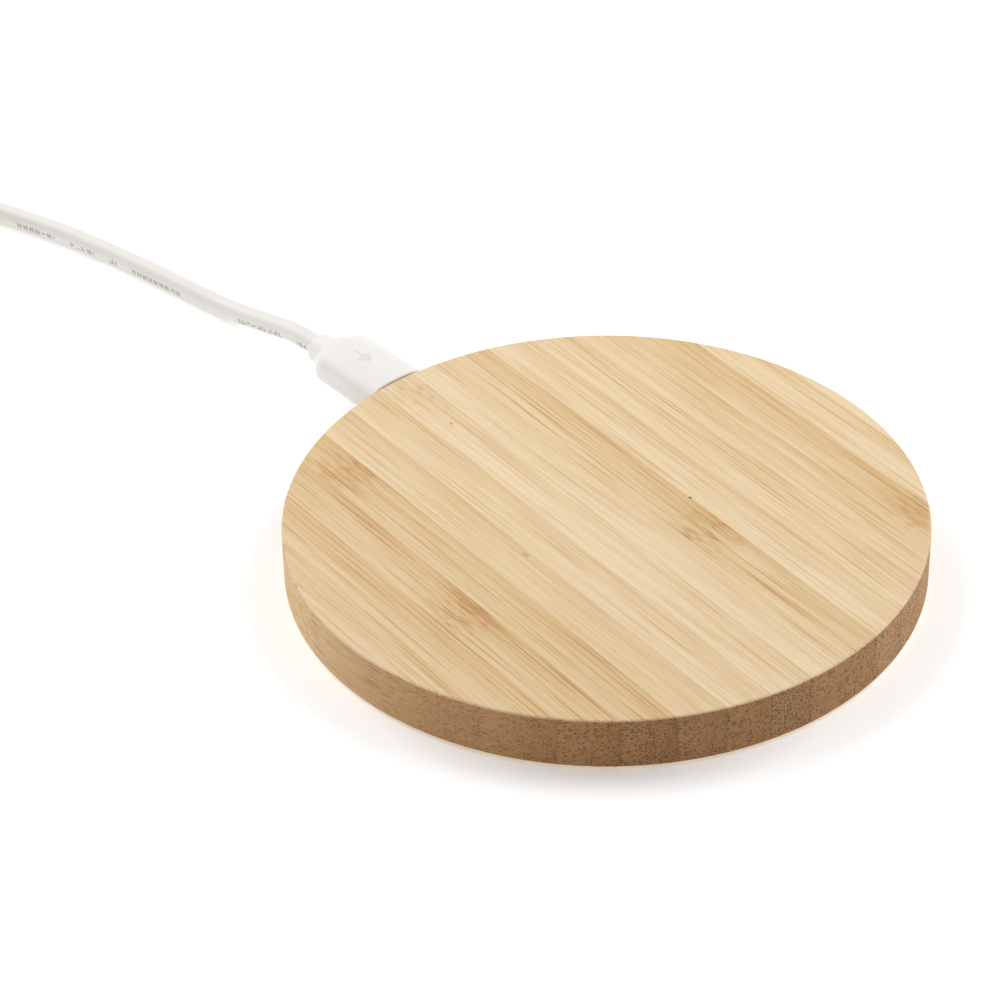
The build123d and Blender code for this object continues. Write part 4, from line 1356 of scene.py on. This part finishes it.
# %% Make every finish once
# for each: colour, second colour, roughness, the grain's waves in a millimetre, relief, coat
TEXTURED = {
    "rubber_grey": ((0.105, 0.105, 0.11), (0.135, 0.135, 0.14), 0.72, 5.0, 0.03 * MM),
    "insulator_white": ((0.80, 0.80, 0.78), (0.76, 0.76, 0.74), 0.42, 8.0, 0.015 * MM),
    "insulator_black": ((0.016, 0.016, 0.017), (0.028, 0.028, 0.03), 0.5, 8.0, 0.015 * MM),
    "tape_white": ((0.78, 0.76, 0.69), (0.72, 0.70, 0.63), 0.6, 3.0, 0.02 * MM),
    "chip_black": ((0.022, 0.022, 0.024), (0.035, 0.035, 0.037), 0.52, 9.0, 0.02 * MM),
    "ceramic_tan": ((0.40, 0.27, 0.15), (0.46, 0.32, 0.19), 0.48, 6.0, 0.015 * MM),
    "ferrite_black": ((0.045, 0.045, 0.05), (0.07, 0.07, 0.075), 0.55, 4.0, 0.03 * MM),
    "lamp_white": ((0.82, 0.82, 0.72), (0.86, 0.86, 0.78), 0.3, 6.0, 0.01 * MM, 0.3),
}
# for each: colour, roughness, the lines' waves in a millimetre along x, y and z
METALS = {
    "plug_steel": ((0.62, 0.61, 0.59), 0.26, (9.0, 0.5, 9.0)),
    "screw_steel": ((0.56, 0.56, 0.56), 0.34, (3.0, 3.0, 3.0)),
    "contact_gold": ((0.84, 0.60, 0.22), 0.22, (8.0, 0.6, 8.0)),
}
FINISHES = {
    "bamboo": bamboo(),
    "white_moulding": white_moulding(),
    "white_jacket": white_jacket(),
    "cover_plastic": cover_plastic(),
    "label_film": label_film(),
    "tie_grey": strap_cloth(),
    "clear_plastic": clear_plastic(),
    "board_green": board_green(),
    "coil_copper": coil_copper(),
}
FINISHES |= {name: textured(name, *facts) for name, facts in TEXTURED.items()}
FINISHES |= {name: rolled_metal(name, *facts) for name, facts in METALS.items()}
print("finishes", len(FINISHES))

# %% [markdown]
# ## Give every piece its finish
#
# The record names a material slot for each CAD part, and each new piece has named the slot
# that it stands in for, so one loop serves both.

# %% Assign the finishes
for node in nodes.values():
    for holder in node.material_slots:
        holder.material = FINISHES[holder.material.name]
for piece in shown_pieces():
    if not piece.material_slots:
        piece.data.materials.append(FINISHES[piece["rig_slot"]])

# %% [markdown]
# ## The set
#
# The pad lies on a plain pale sheet in a bright white studio, which lights it evenly from all
# round. Two large soft boxes stand behind it, one to each side. They lift the top, brighten
# the rim where it turns away from the camera, and leave the part of the rim that faces the
# camera darker, which is what shows the disc's thickness. The sheet glows very faintly, as a
# backlit sweep does, and that keeps it clean white all the way out.

# %% Lay the floor and hang the lights
FLOOR_SIDE = 12.0
FLOOR_GLOW = 0.25
BOX_SIZE = 0.8
BOX_DISTANCE = 1.1
BOX_ABOVE = math.radians(38)
SOFT_BOXES = {"box_left": (math.radians(-58), 7.4), "box_right": (math.radians(62), 7.4)}
WORLD_STRENGTH = 0.38


def pale_floor():
    """Matt white sheet with a faint even glow and a very fine tooth."""
    sheet = Finish("pale_sheet")
    tooth = sheet.noise(sheet.where(), 0.8, 2.0)
    return sheet.surface(
        Base_Color=(0.98, 0.98, 0.98),
        Roughness=0.85 + (tooth - 0.5) * 0.1,
        Specular_IOR_Level=0.1,
        Emission_Color=(1.0, 1.0, 1.0),
        Emission_Strength=FLOOR_GLOW,
    )


def lay_floor():
    """One large square sheet at table height."""
    half = FLOOR_SIDE / 2
    corners = [(-half, -half, 0), (half, -half, 0), (half, half, 0), (-half, half, 0)]
    mesh = bpy.data.meshes.new("floor")
    mesh.from_pydata(corners, [], [(0, 1, 2, 3)])
    mesh.materials.append(pale_floor())
    new_object("floor", mesh)


def soft_box(name, around, power):
    """A large square lamp behind the pad, aimed at it; around is its angle from straight behind."""
    data = bpy.data.lights.new(name, "AREA")
    data.shape = "SQUARE"
    data.size = BOX_SIZE
    data.energy = power
    lamp = new_object(name, data)
    turn = Matrix.Rotation(CAMERA_AROUND - around, 3, "Z") @ Matrix.Rotation(BOX_ABOVE, 3, "X")
    lamp.location = turn @ Vector((0, BOX_DISTANCE, 0))
    lamp.rotation_euler = (-lamp.location).to_track_quat("-Z", "Y").to_euler()


lay_floor()
for name, (around, power) in SOFT_BOXES.items():
    soft_box(name, around, power)
world = bpy.data.worlds.new("studio")
world.use_nodes = True
sky = world.node_tree.nodes["Background"]
sky.inputs["Color"].default_value = (1.0, 1.0, 1.0, 1.0)
sky.inputs["Strength"].default_value = WORLD_STRENGTH
bpy.context.scene.world = world
bpy.context.scene.view_settings.view_transform = "Standard"
print("floor and lights ready")

# %% [markdown]
#
# The pieces that ride on the cord are gathered in one list.

# %% List the pieces on the cord
on_cord = [grip_piece, strap_piece, supply_piece]
on_cord += [bpy.data.objects[name] for name in ("plug_shell_folded", "supply_shell_folded", "supply_tongue")]
plain_parts = ("plug_insulator", "plug_contacts", "plug_latches", "supply_plug_contacts")
on_cord += [nodes[name] for name in plain_parts]
